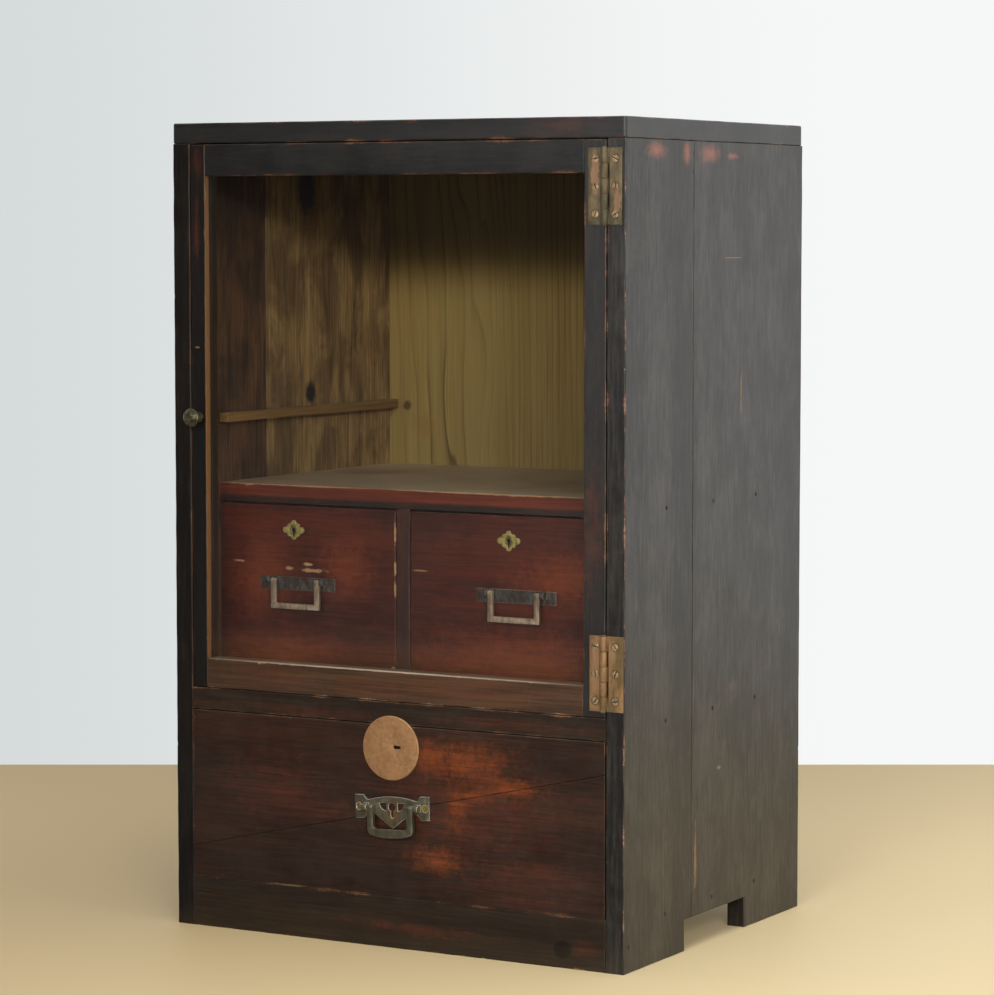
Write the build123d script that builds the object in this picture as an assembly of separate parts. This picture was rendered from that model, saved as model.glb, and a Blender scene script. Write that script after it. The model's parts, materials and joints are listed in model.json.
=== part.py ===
from build123d import *
import math
import os

# A display cabinet, in millimetres. X runs to the right, Y to the back, Z up.
# The origin is under the middle of the whole object, on the floor.

# Case
case_width = 364.0
case_depth = 278.0
case_height = 576.0
side_thickness = 14.0
top_thickness = 14.5
top_rear_overhang = 2.0
left_front_board_width = 98.5
right_front_board_width = 101.0
foot_length = 91.0
foot_height = 22.0
base_rail_height = 36.0
base_rail_thickness = 14.0
bottom_thickness = 9.0
lower_bay_height = 122.0
mid_thickness = 15.0
small_bay_height = 132.0
shelf_thickness = 13.2
shelf_setback = 36.7
divider_thickness = 11.0
left_bay_width = 149.6
back_thickness = 5.0
back_lap = 7.0
back_board_count = 3
housing_depth = 4.0
housing_stop = 12.0
cleat_height = 6.5
cleat_width = 8.0
cleat_rise = 43.8

# Case nails
nail_radius = 0.8
nail_head_radius = 1.5
nail_head_thickness = 0.5
nail_length = 32.0
back_nail_length = 18.0
nail_clearance = 0.03
top_nail_shares = (0.1, 0.37, 0.63, 0.9)
side_nail_shares = (0.22, 0.48, 0.727)
back_nail_shares = (0.25, 0.75)

# Door
door_thickness = 16.0
door_gap_left = 1.0
door_gap_right = 0.7
door_gap_top = 0.8
door_gap_bottom = 0.6
left_stile_width = 12.1
right_stile_width = 16.6
top_rail_height = 22.2
bottom_rail_height = 20.8
glass_thickness = 2.0
glass_setback = 7.0
glass_side_slack = 0.3
glass_top_slack = 0.6
glass_face_clearance = 0.1
groove_depth = 4.0
tenon_thickness = 5.0
tenon_length = 7.0

# Hinges
hinge_length = 51.0
hinge_leaf_thickness = 1.2
hinge_knuckle_radius = 2.3
hinge_knuckle_count = 5
hinge_knuckle_gap = 0.15
hinge_slit = 0.5
hinge_pin_radius = 1.1
hinge_pin_clearance = 0.04
hinge_pin_head = 0.7
hinge_axis_inset = 0.8
upper_hinge_rise = 6.4
lower_hinge_rise = 5.1
upper_door_leaf_width = 13.0
upper_case_leaf_width = 12.4
lower_door_leaf_width = 11.2
lower_case_leaf_width = 14.2
screw_end_share = 0.14
screw_head_radius = 2.5
screw_radius = 1.1
screw_length = 9.5
screw_slot_width = 0.7
screw_slot_depth = 0.5
screw_clearance = 0.03

# Door knob
knob_inset = 6.05
knob_height = 193.8
knob_reach = 12.6
knob_head_radius = 6.4
knob_head_thickness = 5.2
knob_rim_thickness = 1.2
knob_neck_radius = 2.6
knob_base_radius = 3.6
knob_base_thickness = 1.4
knob_bead_radius = 3.2
knob_bead_thickness = 1.6
knob_shank_radius = 1.5
knob_tip_gap = 0.8

# Drawers
drawer_side_gap = 0.6
drawer_floor_gap = 0.3
drawer_rear_gap = 6.0
small_top_gap = 1.5
small_front_thickness = 12.0
small_board_thickness = 7.0
small_bottom_thickness = 4.0
lower_top_gap = 1.0
lower_front_thickness = 14.0
lower_board_thickness = 9.0
lower_bottom_thickness = 5.0
lower_front_proud = 0.4
drawer_lap = 7.0
drawer_groove = 3.0
drawer_bottom_lift = 4.0
drawer_back_drop = 3.0
seam_left_height = 22.0
seam_right_height = 98.3

# Locks
lock_width = 34.0
lock_height = 24.0
lock_depth = 7.0
lock_wall = 1.1
lock_above_key = 9.0
bolt_width = 14.0
bolt_clearance = 0.3
bolt_drop = 0.5
bolt_throw = 5.0
mortise_clearance = 0.5
mortise_spare = 1.0

# Keyhole plates of the small drawers
plate_half_width = 8.9
plate_half_height = 7.0
plate_lobe_radius = 2.2
plate_thickness = 1.0
plate_waist_share = 0.36
plate_pin_radius = 0.85
plate_pin_proud = 0.3
keyhole_radius = 1.7
keyhole_slot_width = 1.5
keyhole_drop = 5.2
left_key_shift = -10.8
right_key_shift = -7.4
small_key_depth = 17.4

# Round lock plate of the lower drawer
disc_radius = 22.7
disc_thickness = 1.4
disc_edge = 0.5
disc_x = -0.6
disc_rise = 104.7
disc_key_x = 3.3
disc_key_lift = 0.9
disc_key_radius = 1.5
disc_key_reach = 3.4
disc_key_end_radius = 1.1
disc_spike_radius = 0.8
disc_spike_length = 5.0
disc_spike_share = 0.55

# Pulls of the small drawers
small_pull_plate_width = 63.0
small_pull_plate_height = 9.4
small_pull_plate_thickness = 1.0
small_pull_plate_drop = 2.2
small_bail_width = 40.8
small_bail_drop = 20.3
small_bail_arm = 4.0
small_bail_bar = 4.0
small_bail_thickness = 2.5
small_bail_corner = 0.8
left_pull_shift = -7.1
right_pull_shift = -1.2
small_pull_rise = 76.9

# Pull of the lower drawer
lower_pull_x = 1.0
lower_pull_rise = 63.4
lower_pull_tilt = 2.4
lower_plate_half_width = 30.2
lower_plate_end_width = 6.8
lower_plate_end_half_height = 8.3
lower_plate_neck_half_height = 4.6
lower_plate_waist_x = 20.2
lower_plate_arch_rise = 7.4
lower_plate_shoulder_x = 16.2
lower_plate_shoulder_drop = 3.5
lower_plate_tip_drop = 14.9
lower_plate_thickness = 2.0
lower_eye_radius = 3.0
lower_eye_slot_width = 2.2
lower_eye_slot_drop = 7.6
lower_lobe_radius = 5.6
lower_lobe_x = 4.6
lower_bail_width = 36.4
lower_bail_drop = 18.6
lower_bail_bow = 2.6
lower_bail_arm = 4.4
lower_bail_bar = 3.4
lower_bail_thickness = 3.4
lower_bail_corner = 3.6
lower_bail_inner_corner = 2.6
lower_post_width = 4.4

# What both kinds of pull share
pull_pivot_reach = 4.4
pull_pin_radius = 1.0
pull_pin_clearance = 0.06
small_post_width = 3.4
pull_post_height = 5.0
pull_post_nose = 2.2
pull_post_gap = 0.4
pull_tail_radius = 1.2
bail_eye_share = 1.25

cut_overrun = 1.0

# Planes and levels that the pieces share
front = (knob_reach - case_depth - top_rear_overhang) / 2
rear = front + case_depth
outer = case_width / 2
inner = outer - side_thickness
bottom_top = base_rail_height
mid_under = bottom_top + lower_bay_height
mid_top = mid_under + mid_thickness
shelf_under = mid_top + small_bay_height
shelf_top = shelf_under + shelf_thickness
top_under = case_height - top_thickness
divider_left = left_bay_width - inner
divider_right = divider_left + divider_thickness
shelf_front = front + shelf_setback
back_front = rear - back_thickness
cleat_under = shelf_top + cleat_rise

door_left = door_gap_left - inner
door_right = inner - door_gap_right
door_bottom = mid_top + door_gap_bottom
door_top = top_under - door_gap_top
sight_left = door_left + left_stile_width
sight_right = door_right - right_stile_width
sight_bottom = door_bottom + bottom_rail_height
sight_top = door_top - top_rail_height
glass_front = front + glass_setback
glass_middle = glass_front + glass_thickness / 2

hinge_x = inner - hinge_axis_inset
hinge_y = front - hinge_knuckle_radius
upper_hinge_bottom = top_under - upper_hinge_rise - hinge_length
lower_hinge_bottom = mid_top + lower_hinge_rise
knob_x = door_left + knob_inset
knob_z = door_bottom + knob_height
knob_shank_length = glass_setback - glass_face_clearance - knob_tip_gap

os.makedirs("parts", exist_ok=True)


def block(x0, x1, y0, y1, z0, z1):
    """A box between two corners."""
    return Pos(x0, y0, z0) * Box(x1 - x0, y1 - y0, z1 - z0, align=(Align.MIN, Align.MIN, Align.MIN))


def rod(start, direction, radius, length):
    """A cylinder from a point along a direction."""
    base = Plane(origin=start, z_dir=direction)
    return base * Cylinder(radius, length, align=(Align.CENTER, Align.CENTER, Align.MIN))


def facing(x, y, z):
    """A plane that looks towards -Y, with X to the right and Z up in its drawing."""
    return Plane(origin=(x, y, z), x_dir=(1, 0, 0), z_dir=(0, -1, 0))


def save(name, shape):
    """Writes one node. A list becomes a group of separate solids."""
    solids = shape if isinstance(shape, list) else shape.solids()
    whole = solids[0] if len(solids) == 1 else Compound(children=list(solids))
    export_step(whole, f"parts/{name}.step")
    print(name, len(solids), "solid(s)")


def housed_board(y0, stop, z0, z1):
    """A board between the sides, with a tongue at each end, and the housings that the tongues fill."""
    board = block(-inner, inner, y0, back_front, z0, z1)
    tongue = block(-inner - housing_depth, inner + housing_depth, y0 + stop, back_front, z0, z1)
    return board + tongue, tongue


def nail(point, direction, length):
    """A round nail with its head let in flush."""
    shaft = rod(point, direction, nail_radius, length)
    head = rod(point, direction, nail_head_radius, nail_head_thickness)
    return shaft + head


def nail_hole(point, direction, length):
    """The hole that a nail sits in."""
    shaft = rod(point, direction, nail_radius + nail_clearance, length + nail_clearance)
    head = rod(point, direction, nail_head_radius + nail_clearance, nail_head_thickness)
    return shaft + head


def screw_shape(point, slack, slot_angle):
    """A countersunk wood screw driven along +Y with its head flush, or its hole where slack is given."""
    head = Cone(
        screw_radius + slack,
        screw_head_radius + slack,
        hinge_leaf_thickness,
        align=(Align.CENTER, Align.CENTER, Align.MAX),
    )
    shank = Cylinder(
        screw_radius + slack,
        screw_length + slack,
        align=(Align.CENTER, Align.CENTER, Align.MAX),
    )
    screw = head + shank
    if slot_angle is not None:
        slot = Box(2 * screw_head_radius + cut_overrun, screw_slot_width, 2 * screw_slot_depth)
        screw = screw - Rot(0, 0, slot_angle) * slot
    return facing(*point) * screw


# Nails of the case
cross_board_levels = (
    bottom_top - bottom_thickness / 2,
    mid_under + mid_thickness / 2,
    shelf_under + shelf_thickness / 2,
)
case_nails = []
for sign in (-1, 1):
    side_middle = sign * (outer - side_thickness / 2)
    for share in top_nail_shares:
        top_point = (side_middle, front + share * case_depth, case_height)
        case_nails.append((top_point, (0, 0, -1), nail_length))
    for share in side_nail_shares:
        for level in cross_board_levels:
            side_point = (sign * outer, front + share * case_depth, level)
            case_nails.append((side_point, (-sign, 0, 0), nail_length))
    rail_point = (sign * outer, front + base_rail_thickness / 2, base_rail_height / 2)
    case_nails.append((rail_point, (-sign, 0, 0), nail_length))

back_width = 2 * (inner + back_lap)
back_board_width = back_width / back_board_count
for index in range(back_board_count):
    for share in back_nail_shares:
        nail_x = (index + share) * back_board_width - back_width / 2
        for level in cross_board_levels:
            case_nails.append(((nail_x, rear, level), (0, -1, 0), back_nail_length))

nail_holes = [nail_hole(*values) for values in case_nails]


def nailed(board):
    """The board with the holes of the nails that reach it."""
    box = board.bounding_box()
    reached = [hole for hole in nail_holes if box.overlaps(hole.bounding_box())]
    return board - reached if reached else board


# Boards between the sides
bottom_board, bottom_housing = housed_board(
    front + base_rail_thickness, 0, bottom_top - bottom_thickness, bottom_top
)
mid_board, mid_housing = housed_board(front, housing_stop, mid_under, mid_top)
shelf_board, shelf_housing = housed_board(shelf_front, housing_stop, shelf_under, shelf_top)
base_rail = block(-inner, inner, front, front + base_rail_thickness, 0, base_rail_height)
divider = block(divider_left, divider_right, shelf_front, back_front, mid_top, shelf_under)
top_board = block(-outer, outer, front, rear + top_rear_overhang, top_under, case_height)


# Screws of the hinges, with the case leaf's and the door leaf's in their own lists
def screw_levels(low):
    """The three screw heights on a hinge leaf."""
    end = hinge_length * screw_end_share
    return (low + end, low + hinge_length / 2, low + hinge_length - end)


case_screw_places = []
door_screw_places = []
for low, door_width, case_leaf_width in (
    (upper_hinge_bottom, upper_door_leaf_width, upper_case_leaf_width),
    (lower_hinge_bottom, lower_door_leaf_width, lower_case_leaf_width),
):
    door_screw_x = hinge_x - (door_width + hinge_knuckle_radius) / 2
    case_screw_x = hinge_x + (case_leaf_width + hinge_knuckle_radius) / 2
    for level in screw_levels(low):
        door_screw_places.append((door_screw_x, front - hinge_leaf_thickness, level))
        case_screw_places.append((case_screw_x, front - hinge_leaf_thickness, level))

slot_turns = (35, 80, -25, 10, 65, -50)
case_screws = [screw_shape(p, 0, a) for p, a in zip(case_screw_places, slot_turns)]
door_screws = [screw_shape(p, 0, a + slot_turns[0]) for p, a in zip(door_screw_places, slot_turns)]
case_screw_holes = [screw_shape(p, screw_clearance, None) for p in case_screw_places]
door_screw_holes = [screw_shape(p, screw_clearance, None) for p in door_screw_places]

# Sides, each of two boards
for sign, side_name, seam in (
    (-1, "left", left_front_board_width),
    (1, "right", right_front_board_width),
):
    low_x, high_x = sorted((sign * inner, sign * outer))
    side = block(low_x, high_x, front, rear, 0, top_under)
    notch = block(
        low_x - cut_overrun,
        high_x + cut_overrun,
        front + foot_length,
        rear - foot_length,
        -cut_overrun,
        foot_height,
    )
    low_lap, high_lap = sorted((sign * (inner - cut_overrun), sign * (inner + back_lap)))
    rabbet = block(low_lap, high_lap, back_front, rear + cut_overrun, foot_height, top_under + cut_overrun)
    side = side - [notch, rabbet, bottom_housing, mid_housing, shelf_housing]
    if sign > 0:
        side = side - case_screw_holes
    front_part = side & block(low_x, high_x, front, front + seam, 0, top_under)
    rear_part = side & block(low_x, high_x, front + seam, rear, 0, top_under)
    save(f"{side_name}_side_front_board", nailed(front_part))
    save(f"{side_name}_side_rear_board", nailed(rear_part))

for index in range(back_board_count):
    board_left = index * back_board_width - back_width / 2
    back_board = block(board_left, board_left + back_board_width, back_front, rear, foot_height, top_under)
    save(f"back_board_{('left', 'middle', 'right')[index]}", nailed(back_board))

cleats = []
for sign in (-1, 1):
    low_x, high_x = sorted((sign * inner, sign * (inner - cleat_width)))
    cleats.append(block(low_x, high_x, shelf_front, back_front, cleat_under, cleat_under + cleat_height))
save("shelf_cleats", cleats)
save("base_rail", nailed(base_rail))
save("bottom_board", nailed(bottom_board))
save("drawer_divider", divider)
save("top_board", nailed(top_board))
save("case_nails", [nail(*values) for values in case_nails])


# Door frame, grooved for the glass
groove = block(
    sight_left - groove_depth,
    sight_right + groove_depth,
    glass_front - glass_face_clearance,
    glass_front + glass_thickness + glass_face_clearance,
    sight_bottom - groove_depth,
    sight_top + groove_depth,
)
glass = block(
    sight_left - groove_depth + glass_side_slack,
    sight_right + groove_depth - glass_side_slack,
    glass_front,
    glass_front + glass_thickness,
    sight_bottom - groove_depth,
    sight_top + groove_depth - glass_top_slack,
)
door_rear = front + door_thickness


def door_rail(z0, z1, tenon_z0, tenon_z1):
    """A rail between the stiles with a tenon at each end, and the tenons' block."""
    rail = block(sight_left, sight_right, front, door_rear, z0, z1)
    tenons = block(
        sight_left - tenon_length,
        sight_right + tenon_length,
        glass_middle - tenon_thickness / 2,
        glass_middle + tenon_thickness / 2,
        tenon_z0,
        tenon_z1,
    )
    return rail + tenons - groove, tenons


top_rail, top_tenons = door_rail(sight_top, door_top, sight_top + groove_depth, door_top - groove_depth)
bottom_rail, bottom_tenons = door_rail(
    door_bottom, sight_bottom, door_bottom + groove_depth, sight_bottom - groove_depth
)
knob_point = (knob_x, front, knob_z)
knob_hole_radius = knob_shank_radius + screw_clearance
knob_hole = rod(knob_point, (0, 1, 0), knob_hole_radius, knob_shank_length + screw_clearance)
left_stile = block(door_left, sight_left, front, door_rear, door_bottom, door_top)
right_stile = block(sight_right, door_right, front, door_rear, door_bottom, door_top)
save("door_left_stile", left_stile - [groove, top_tenons, bottom_tenons, knob_hole])
save("door_right_stile", right_stile - [groove, top_tenons, bottom_tenons] - door_screw_holes)
save("door_top_rail", top_rail)
save("door_bottom_rail", bottom_rail)
save("door_glass", glass)


# Hinges: the case leaf has the first, third and fifth knuckles, the door leaf the others
def hinge_leaf(low, width, first, sign):
    """One leaf from its pin line outwards, with every second knuckle from the first on."""
    step = hinge_length / hinge_knuckle_count
    edge = sign * (hinge_knuckle_radius + hinge_slit)
    near_x, far_x = sorted((hinge_x + edge, hinge_x + sign * width))
    leaf = block(near_x, far_x, front - hinge_leaf_thickness, front, low, low + hinge_length)
    for index in range(first, hinge_knuckle_count, 2):
        z0 = low + index * step + hinge_knuckle_gap / 2
        z1 = low + (index + 1) * step - hinge_knuckle_gap / 2
        knuckle = rod((hinge_x, hinge_y, z0), (0, 0, 1), hinge_knuckle_radius, z1 - z0)
        web_near, web_far = sorted((hinge_x, hinge_x + sign * width))
        web = block(web_near, web_far, front - hinge_leaf_thickness, front, z0, z1)
        leaf = leaf + knuckle + web
    bore_radius = hinge_pin_radius + hinge_pin_clearance
    bore = rod((hinge_x, hinge_y, low - cut_overrun), (0, 0, 1), bore_radius, hinge_length + 2 * cut_overrun)
    return leaf - bore


pins = []
for name, low, door_width, case_leaf_width in (
    ("upper", upper_hinge_bottom, upper_door_leaf_width, upper_case_leaf_width),
    ("lower", lower_hinge_bottom, lower_door_leaf_width, lower_case_leaf_width),
):
    save(f"{name}_hinge_case_leaf", hinge_leaf(low, case_leaf_width, 0, 1) - case_screw_holes)
    save(f"{name}_hinge_door_leaf", hinge_leaf(low, door_width, 1, -1) - door_screw_holes)
    pin = rod((hinge_x, hinge_y, low), (0, 0, 1), hinge_pin_radius, hinge_length)
    for end, direction in ((low, -1), (low + hinge_length, 1)):
        head_radius = hinge_knuckle_radius - hinge_pin_head / 2
        pin = pin + rod((hinge_x, hinge_y, end), (0, 0, direction), head_radius, hinge_pin_head)
    pins.append(pin)
save("hinge_pins", pins)
save("case_hinge_screws", case_screws)
save("door_hinge_screws", door_screws)

# Knob, turned about its axis, from its base on the stile to its domed face
head_back = knob_reach - knob_head_thickness
rim_start = head_back + (knob_head_thickness - knob_rim_thickness) / 2
bead_start = knob_base_thickness + (head_back - knob_base_thickness - knob_bead_thickness) / 2
dome_start = rim_start + knob_rim_thickness
dome_radius = (knob_head_radius**2 + (knob_reach - dome_start) ** 2) / (2 * (knob_reach - dome_start))
dome_half_turn = math.asin(knob_head_radius / dome_radius) / 2
with BuildPart() as knob_builder:
    with BuildSketch(Plane.XY):
        with BuildLine():
            l1 = Line((0, 0), (knob_base_radius, 0))
            l2 = Line(l1 @ 1, (knob_base_radius, knob_base_thickness))
            l3 = Line(l2 @ 1, (knob_neck_radius, knob_base_thickness))
            l4 = Line(l3 @ 1, (knob_neck_radius, bead_start))
            l5 = ThreePointArc(
                l4 @ 1,
                (knob_bead_radius, bead_start + knob_bead_thickness / 2),
                (knob_neck_radius, bead_start + knob_bead_thickness),
            )
            l6 = Line(l5 @ 1, (knob_neck_radius, head_back))
            l7 = Line(l6 @ 1, (knob_head_radius, rim_start))
            l8 = Line(l7 @ 1, (knob_head_radius, dome_start))
            dome_middle = (
                dome_radius * math.sin(dome_half_turn),
                knob_reach - dome_radius * (1 - math.cos(dome_half_turn)),
            )
            l9 = ThreePointArc(l8 @ 1, dome_middle, (0, knob_reach))
            l10 = Line(l9 @ 1, (0, 0))
        make_face()
    revolve(axis=Axis.Y)
knob = Pos(*knob_point) * Rot(180, 0, 0) * knob_builder.part
knob = knob + rod(knob_point, (0, 1, 0), knob_shank_radius, knob_shank_length)
save("door_knob", knob)


# Locks
def lock(key_x, key_z, inside_y, drawer_top, gap_above):
    """A lock case let into a drawer front, its bolt, the cuts in the front and the mortise above."""
    low = key_z + lock_above_key - lock_height
    high = key_z + lock_above_key
    half = lock_width / 2
    channel = bolt_width / 2 + bolt_clearance
    channel_front = inside_y - lock_depth + lock_wall
    channel_rear = inside_y - lock_wall
    case = block(key_x - half, key_x + half, inside_y - lock_depth, inside_y, low, high)
    hollow = block(
        key_x - channel, key_x + channel, channel_front, channel_rear, low + lock_wall, drawer_top
    )
    bolt_low = low + lock_wall + bolt_clearance
    bolt = block(
        key_x - bolt_width / 2,
        key_x + bolt_width / 2,
        channel_front + bolt_clearance,
        channel_rear - bolt_clearance,
        bolt_low,
        drawer_top - bolt_drop,
    )
    mortise = block(
        key_x - bolt_width / 2 - mortise_clearance,
        key_x + bolt_width / 2 + mortise_clearance,
        channel_front + bolt_clearance - mortise_clearance,
        channel_rear - bolt_clearance + mortise_clearance,
        drawer_top + gap_above - cut_overrun,
        drawer_top - bolt_drop + bolt_throw + mortise_spare,
    )
    slot = block(
        key_x - channel,
        key_x + channel,
        channel_front,
        channel_rear,
        high,
        drawer_top + cut_overrun,
    )
    return case - hollow, bolt, [case, slot], mortise


def keyhole(x, z, y0, y1, radius, end_radius, reach, turn):
    """A round hole with a narrower slot that runs from it, cut along Y."""
    outline = Circle(radius) + Pos(0, -reach / 2) * Rectangle(2 * end_radius, reach)
    outline = outline + Pos(0, -reach) * Circle(end_radius)
    face = facing(x, y1, z) * Rot(0, 0, turn) * outline
    return extrude(face, y1 - y0)


# Drawers
def drawer(x0, x1, y0, y1, z0, z1, front_thickness, board, bottom_thick, lap):
    """The boards of a drawer box: front, left side, right side, back and bottom."""
    inside_y = y0 + front_thickness
    floor = z0 + drawer_bottom_lift
    top = z1 - drawer_back_drop
    bottom = block(
        x0 + board - drawer_groove,
        x1 - board + drawer_groove,
        inside_y - drawer_groove,
        y1,
        floor,
        floor + bottom_thick,
    )
    sides = [
        block(x0, x0 + board, inside_y - lap, y1, z0, top),
        block(x1 - board, x1, inside_y - lap, y1, z0, top),
    ]
    face = block(x0, x1, y0, inside_y, z0, z1) - sides - [bottom]
    back = block(x0 + board, x1 - board, y1 - board, y1, floor + bottom_thick, top)
    return face, sides[0] - bottom, sides[1] - bottom, back, bottom


# Pulls. Each is drawn about its pivot line, facing -Y, with the drawer front at the pivot's reach behind it.
def bail(width, drop, bow, arm, bar, thickness, corner, inner_corner, post_width):
    """A swinging bail hanging from its two outward pins, its lower edge straight or bowed."""
    outline = Pos(0, -drop / 2) * Rectangle(width, drop)
    if bow:
        with BuildSketch() as bow_builder:
            with BuildLine():
                ThreePointArc((-width / 2, -drop), (0, -drop - bow), (width / 2, -drop))
                Line((width / 2, -drop), (width / 2, -arm))
                Line((width / 2, -arm), (-width / 2, -arm))
                Line((-width / 2, -arm), (-width / 2, -drop))
            make_face()
        outline = outline + bow_builder.sketch
    lower_corners = [v for v in outline.vertices() if abs(v.Y + drop) < corner / 2]
    outline = fillet(lower_corners, corner)
    gap_height = drop - bar
    gap = Pos(0, bar - drop + gap_height / 2) * Rectangle(width - 2 * arm, gap_height)
    if inner_corner:
        gap = fillet(gap.vertices().sort_by(Axis.Y)[:2], inner_corner)
    outline = outline - gap
    body = extrude(facing(0, thickness / 2, 0) * outline, thickness)
    pin_length = pull_post_gap + post_width / 2
    eye_radius = bail_eye_share * thickness / 2
    for sign in (-1, 1):
        eye_start = (sign * (width / 2 - arm), 0, 0)
        pin_start = (sign * (width / 2 - arm / 2), 0, 0)
        body = body + rod(eye_start, (sign, 0, 0), eye_radius, arm)
        body = body + rod(pin_start, (sign, 0, 0), pull_pin_radius, arm / 2 + pin_length)
    return body


def posts(bail_width, post_width, plate_thickness, front_thickness):
    """The two posts that carry a bail, with their tails through the drawer front."""
    made = []
    for sign in (-1, 1):
        near = bail_width / 2 + pull_post_gap
        low_x, high_x = sorted((sign * near, sign * (near + post_width)))
        half = pull_post_height / 2
        post = block(low_x, high_x, -pull_post_nose, pull_pivot_reach - plate_thickness, -half, half)
        nose = rod((low_x, 0, 0), (1, 0, 0), half, post_width)
        post = (post & block(low_x, high_x, 0, pull_pivot_reach, -half, half)) + nose
        middle = (low_x + high_x) / 2
        tail_length = front_thickness + plate_thickness
        tail = rod((middle, pull_pivot_reach - plate_thickness, 0), (0, 1, 0), pull_tail_radius, tail_length)
        bore_radius = pull_pin_radius + pull_pin_clearance
        bore_length = post_width / 2 + 2 * pull_pin_clearance
        bore = rod((sign * (near - cut_overrun), 0, 0), (sign, 0, 0), bore_radius, bore_length + cut_overrun)
        made.append(post + tail - bore)
    return made


def tail_holes(bail_width, post_width, front_thickness):
    """The holes in the drawer front for the posts' tails."""
    holes = []
    for sign in (-1, 1):
        middle = sign * (bail_width / 2 + pull_post_gap + post_width / 2)
        radius = pull_tail_radius + screw_clearance
        holes.append(rod((middle, pull_pivot_reach, 0), (0, 1, 0), radius, front_thickness))
    return holes


def plate_solid(outline, thickness):
    """A plate on the drawer front behind the pivot line."""
    return extrude(facing(0, pull_pivot_reach, 0) * outline, thickness)


small_top = shelf_under - small_top_gap
small_floor = mid_top + drawer_floor_gap
small_rear = back_front - drawer_rear_gap
small_key_z = small_top - small_key_depth
small_pull_z = mid_top + small_pull_rise
mortises = []
for name, x0, x1, key_shift, pull_shift in (
    ("left", -inner + drawer_side_gap, divider_left - drawer_side_gap, left_key_shift, left_pull_shift),
    ("right", divider_right + drawer_side_gap, inner - drawer_side_gap, right_key_shift, right_pull_shift),
):
    centre = (x0 + x1) / 2
    key_x = centre + key_shift
    inside_y = shelf_front + small_front_thickness
    face, left_board, right_board, back, bottom = drawer(
        x0,
        x1,
        shelf_front,
        small_rear,
        small_floor,
        small_top,
        small_front_thickness,
        small_board_thickness,
        small_bottom_thickness,
        drawer_lap,
    )
    lock_case, bolt, lock_cuts, mortise = lock(key_x, small_key_z, inside_y, small_top, small_top_gap)
    mortises.append(mortise)
    key_cut = keyhole(
        key_x,
        small_key_z,
        shelf_front - plate_thickness - cut_overrun,
        inside_y - lock_depth + lock_wall,
        keyhole_radius,
        keyhole_slot_width / 2,
        keyhole_drop - keyhole_slot_width / 2,
        0,
    )
    waist_x = plate_half_width * plate_waist_share
    waist_z = plate_half_height * plate_waist_share
    lobe_x = plate_half_width - plate_lobe_radius
    lobe_z = plate_half_height - plate_lobe_radius
    outline = Polygon(
        (lobe_x + plate_lobe_radius / 2, 0), (0, lobe_z + plate_lobe_radius / 2),
        (-lobe_x - plate_lobe_radius / 2, 0), (0, -lobe_z - plate_lobe_radius / 2),
    )
    for lobe in ((lobe_x, 0), (-lobe_x, 0), (0, lobe_z), (0, -lobe_z)):
        outline = outline + Pos(*lobe) * Circle(plate_lobe_radius)
    for sign_x in (-1, 1):
        for sign_z in (-1, 1):
            outline = outline + Pos(sign_x * waist_x, sign_z * waist_z) * Circle(plate_lobe_radius)
    key_plate = extrude(facing(key_x, shelf_front, small_key_z) * outline, plate_thickness)
    for sign in (-1, 1):
        pin_point = (key_x + sign * lobe_x, shelf_front, small_key_z)
        pin_length = plate_thickness + plate_pin_proud
        key_plate = key_plate + rod(pin_point, (0, -1, 0), plate_pin_radius, pin_length)

    pull_place = Pos(centre + pull_shift, shelf_front - pull_pivot_reach, small_pull_z)
    pull_face = Pos(0, -small_pull_plate_drop) * Rectangle(small_pull_plate_width, small_pull_plate_height)
    pull_plate = plate_solid(pull_face, small_pull_plate_thickness)
    for post in posts(
        small_bail_width, small_post_width, small_pull_plate_thickness, small_front_thickness
    ):
        pull_plate = pull_plate + post
    small_tail_holes = tail_holes(small_bail_width, small_post_width, small_front_thickness)
    holes = [pull_place * hole for hole in small_tail_holes]
    small_bail = bail(
        small_bail_width,
        small_bail_drop,
        0,
        small_bail_arm,
        small_bail_bar,
        small_bail_thickness,
        small_bail_corner,
        0,
        small_post_width,
    )
    save(f"{name}_drawer_front", face - lock_cuts - holes - [key_cut])
    save(f"{name}_drawer_left_side", left_board)
    save(f"{name}_drawer_right_side", right_board)
    save(f"{name}_drawer_back", back)
    save(f"{name}_drawer_bottom", bottom)
    save(f"{name}_keyhole_plate", key_plate - key_cut)
    save(f"{name}_pull_plate", pull_place * pull_plate)
    save(f"{name}_bail", pull_place * small_bail)
    save(f"{name}_lock_case", lock_case - key_cut)
    save(f"{name}_lock_bolt", bolt)

# Lower drawer
lower_face = front - lower_front_proud
lower_left = -inner + drawer_side_gap
lower_right = inner - drawer_side_gap
lower_floor = bottom_top + drawer_floor_gap
lower_top = mid_under - lower_top_gap
lower_inside = lower_face + lower_front_thickness
disc_z = lower_floor + disc_rise
disc_key_z = disc_z + disc_key_lift
face, left_board, right_board, back, bottom = drawer(
    lower_left,
    lower_right,
    lower_face,
    back_front - drawer_rear_gap,
    lower_floor,
    lower_top,
    lower_front_thickness,
    lower_board_thickness,
    lower_bottom_thickness,
    drawer_lap,
)
lock_case, bolt, lock_cuts, mortise = lock(disc_key_x, disc_key_z, lower_inside, lower_top, lower_top_gap)
key_cut = keyhole(
    disc_key_x,
    disc_key_z,
    lower_face - disc_thickness - cut_overrun,
    lower_inside - lock_depth + lock_wall,
    disc_key_radius,
    disc_key_end_radius,
    disc_key_reach,
    90,
)
disc = rod((disc_x, lower_face, disc_z), (0, -1, 0), disc_radius, disc_thickness)
disc = chamfer(disc.edges().group_by(Axis.Y)[0], disc_edge)
spike_holes = []
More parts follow.
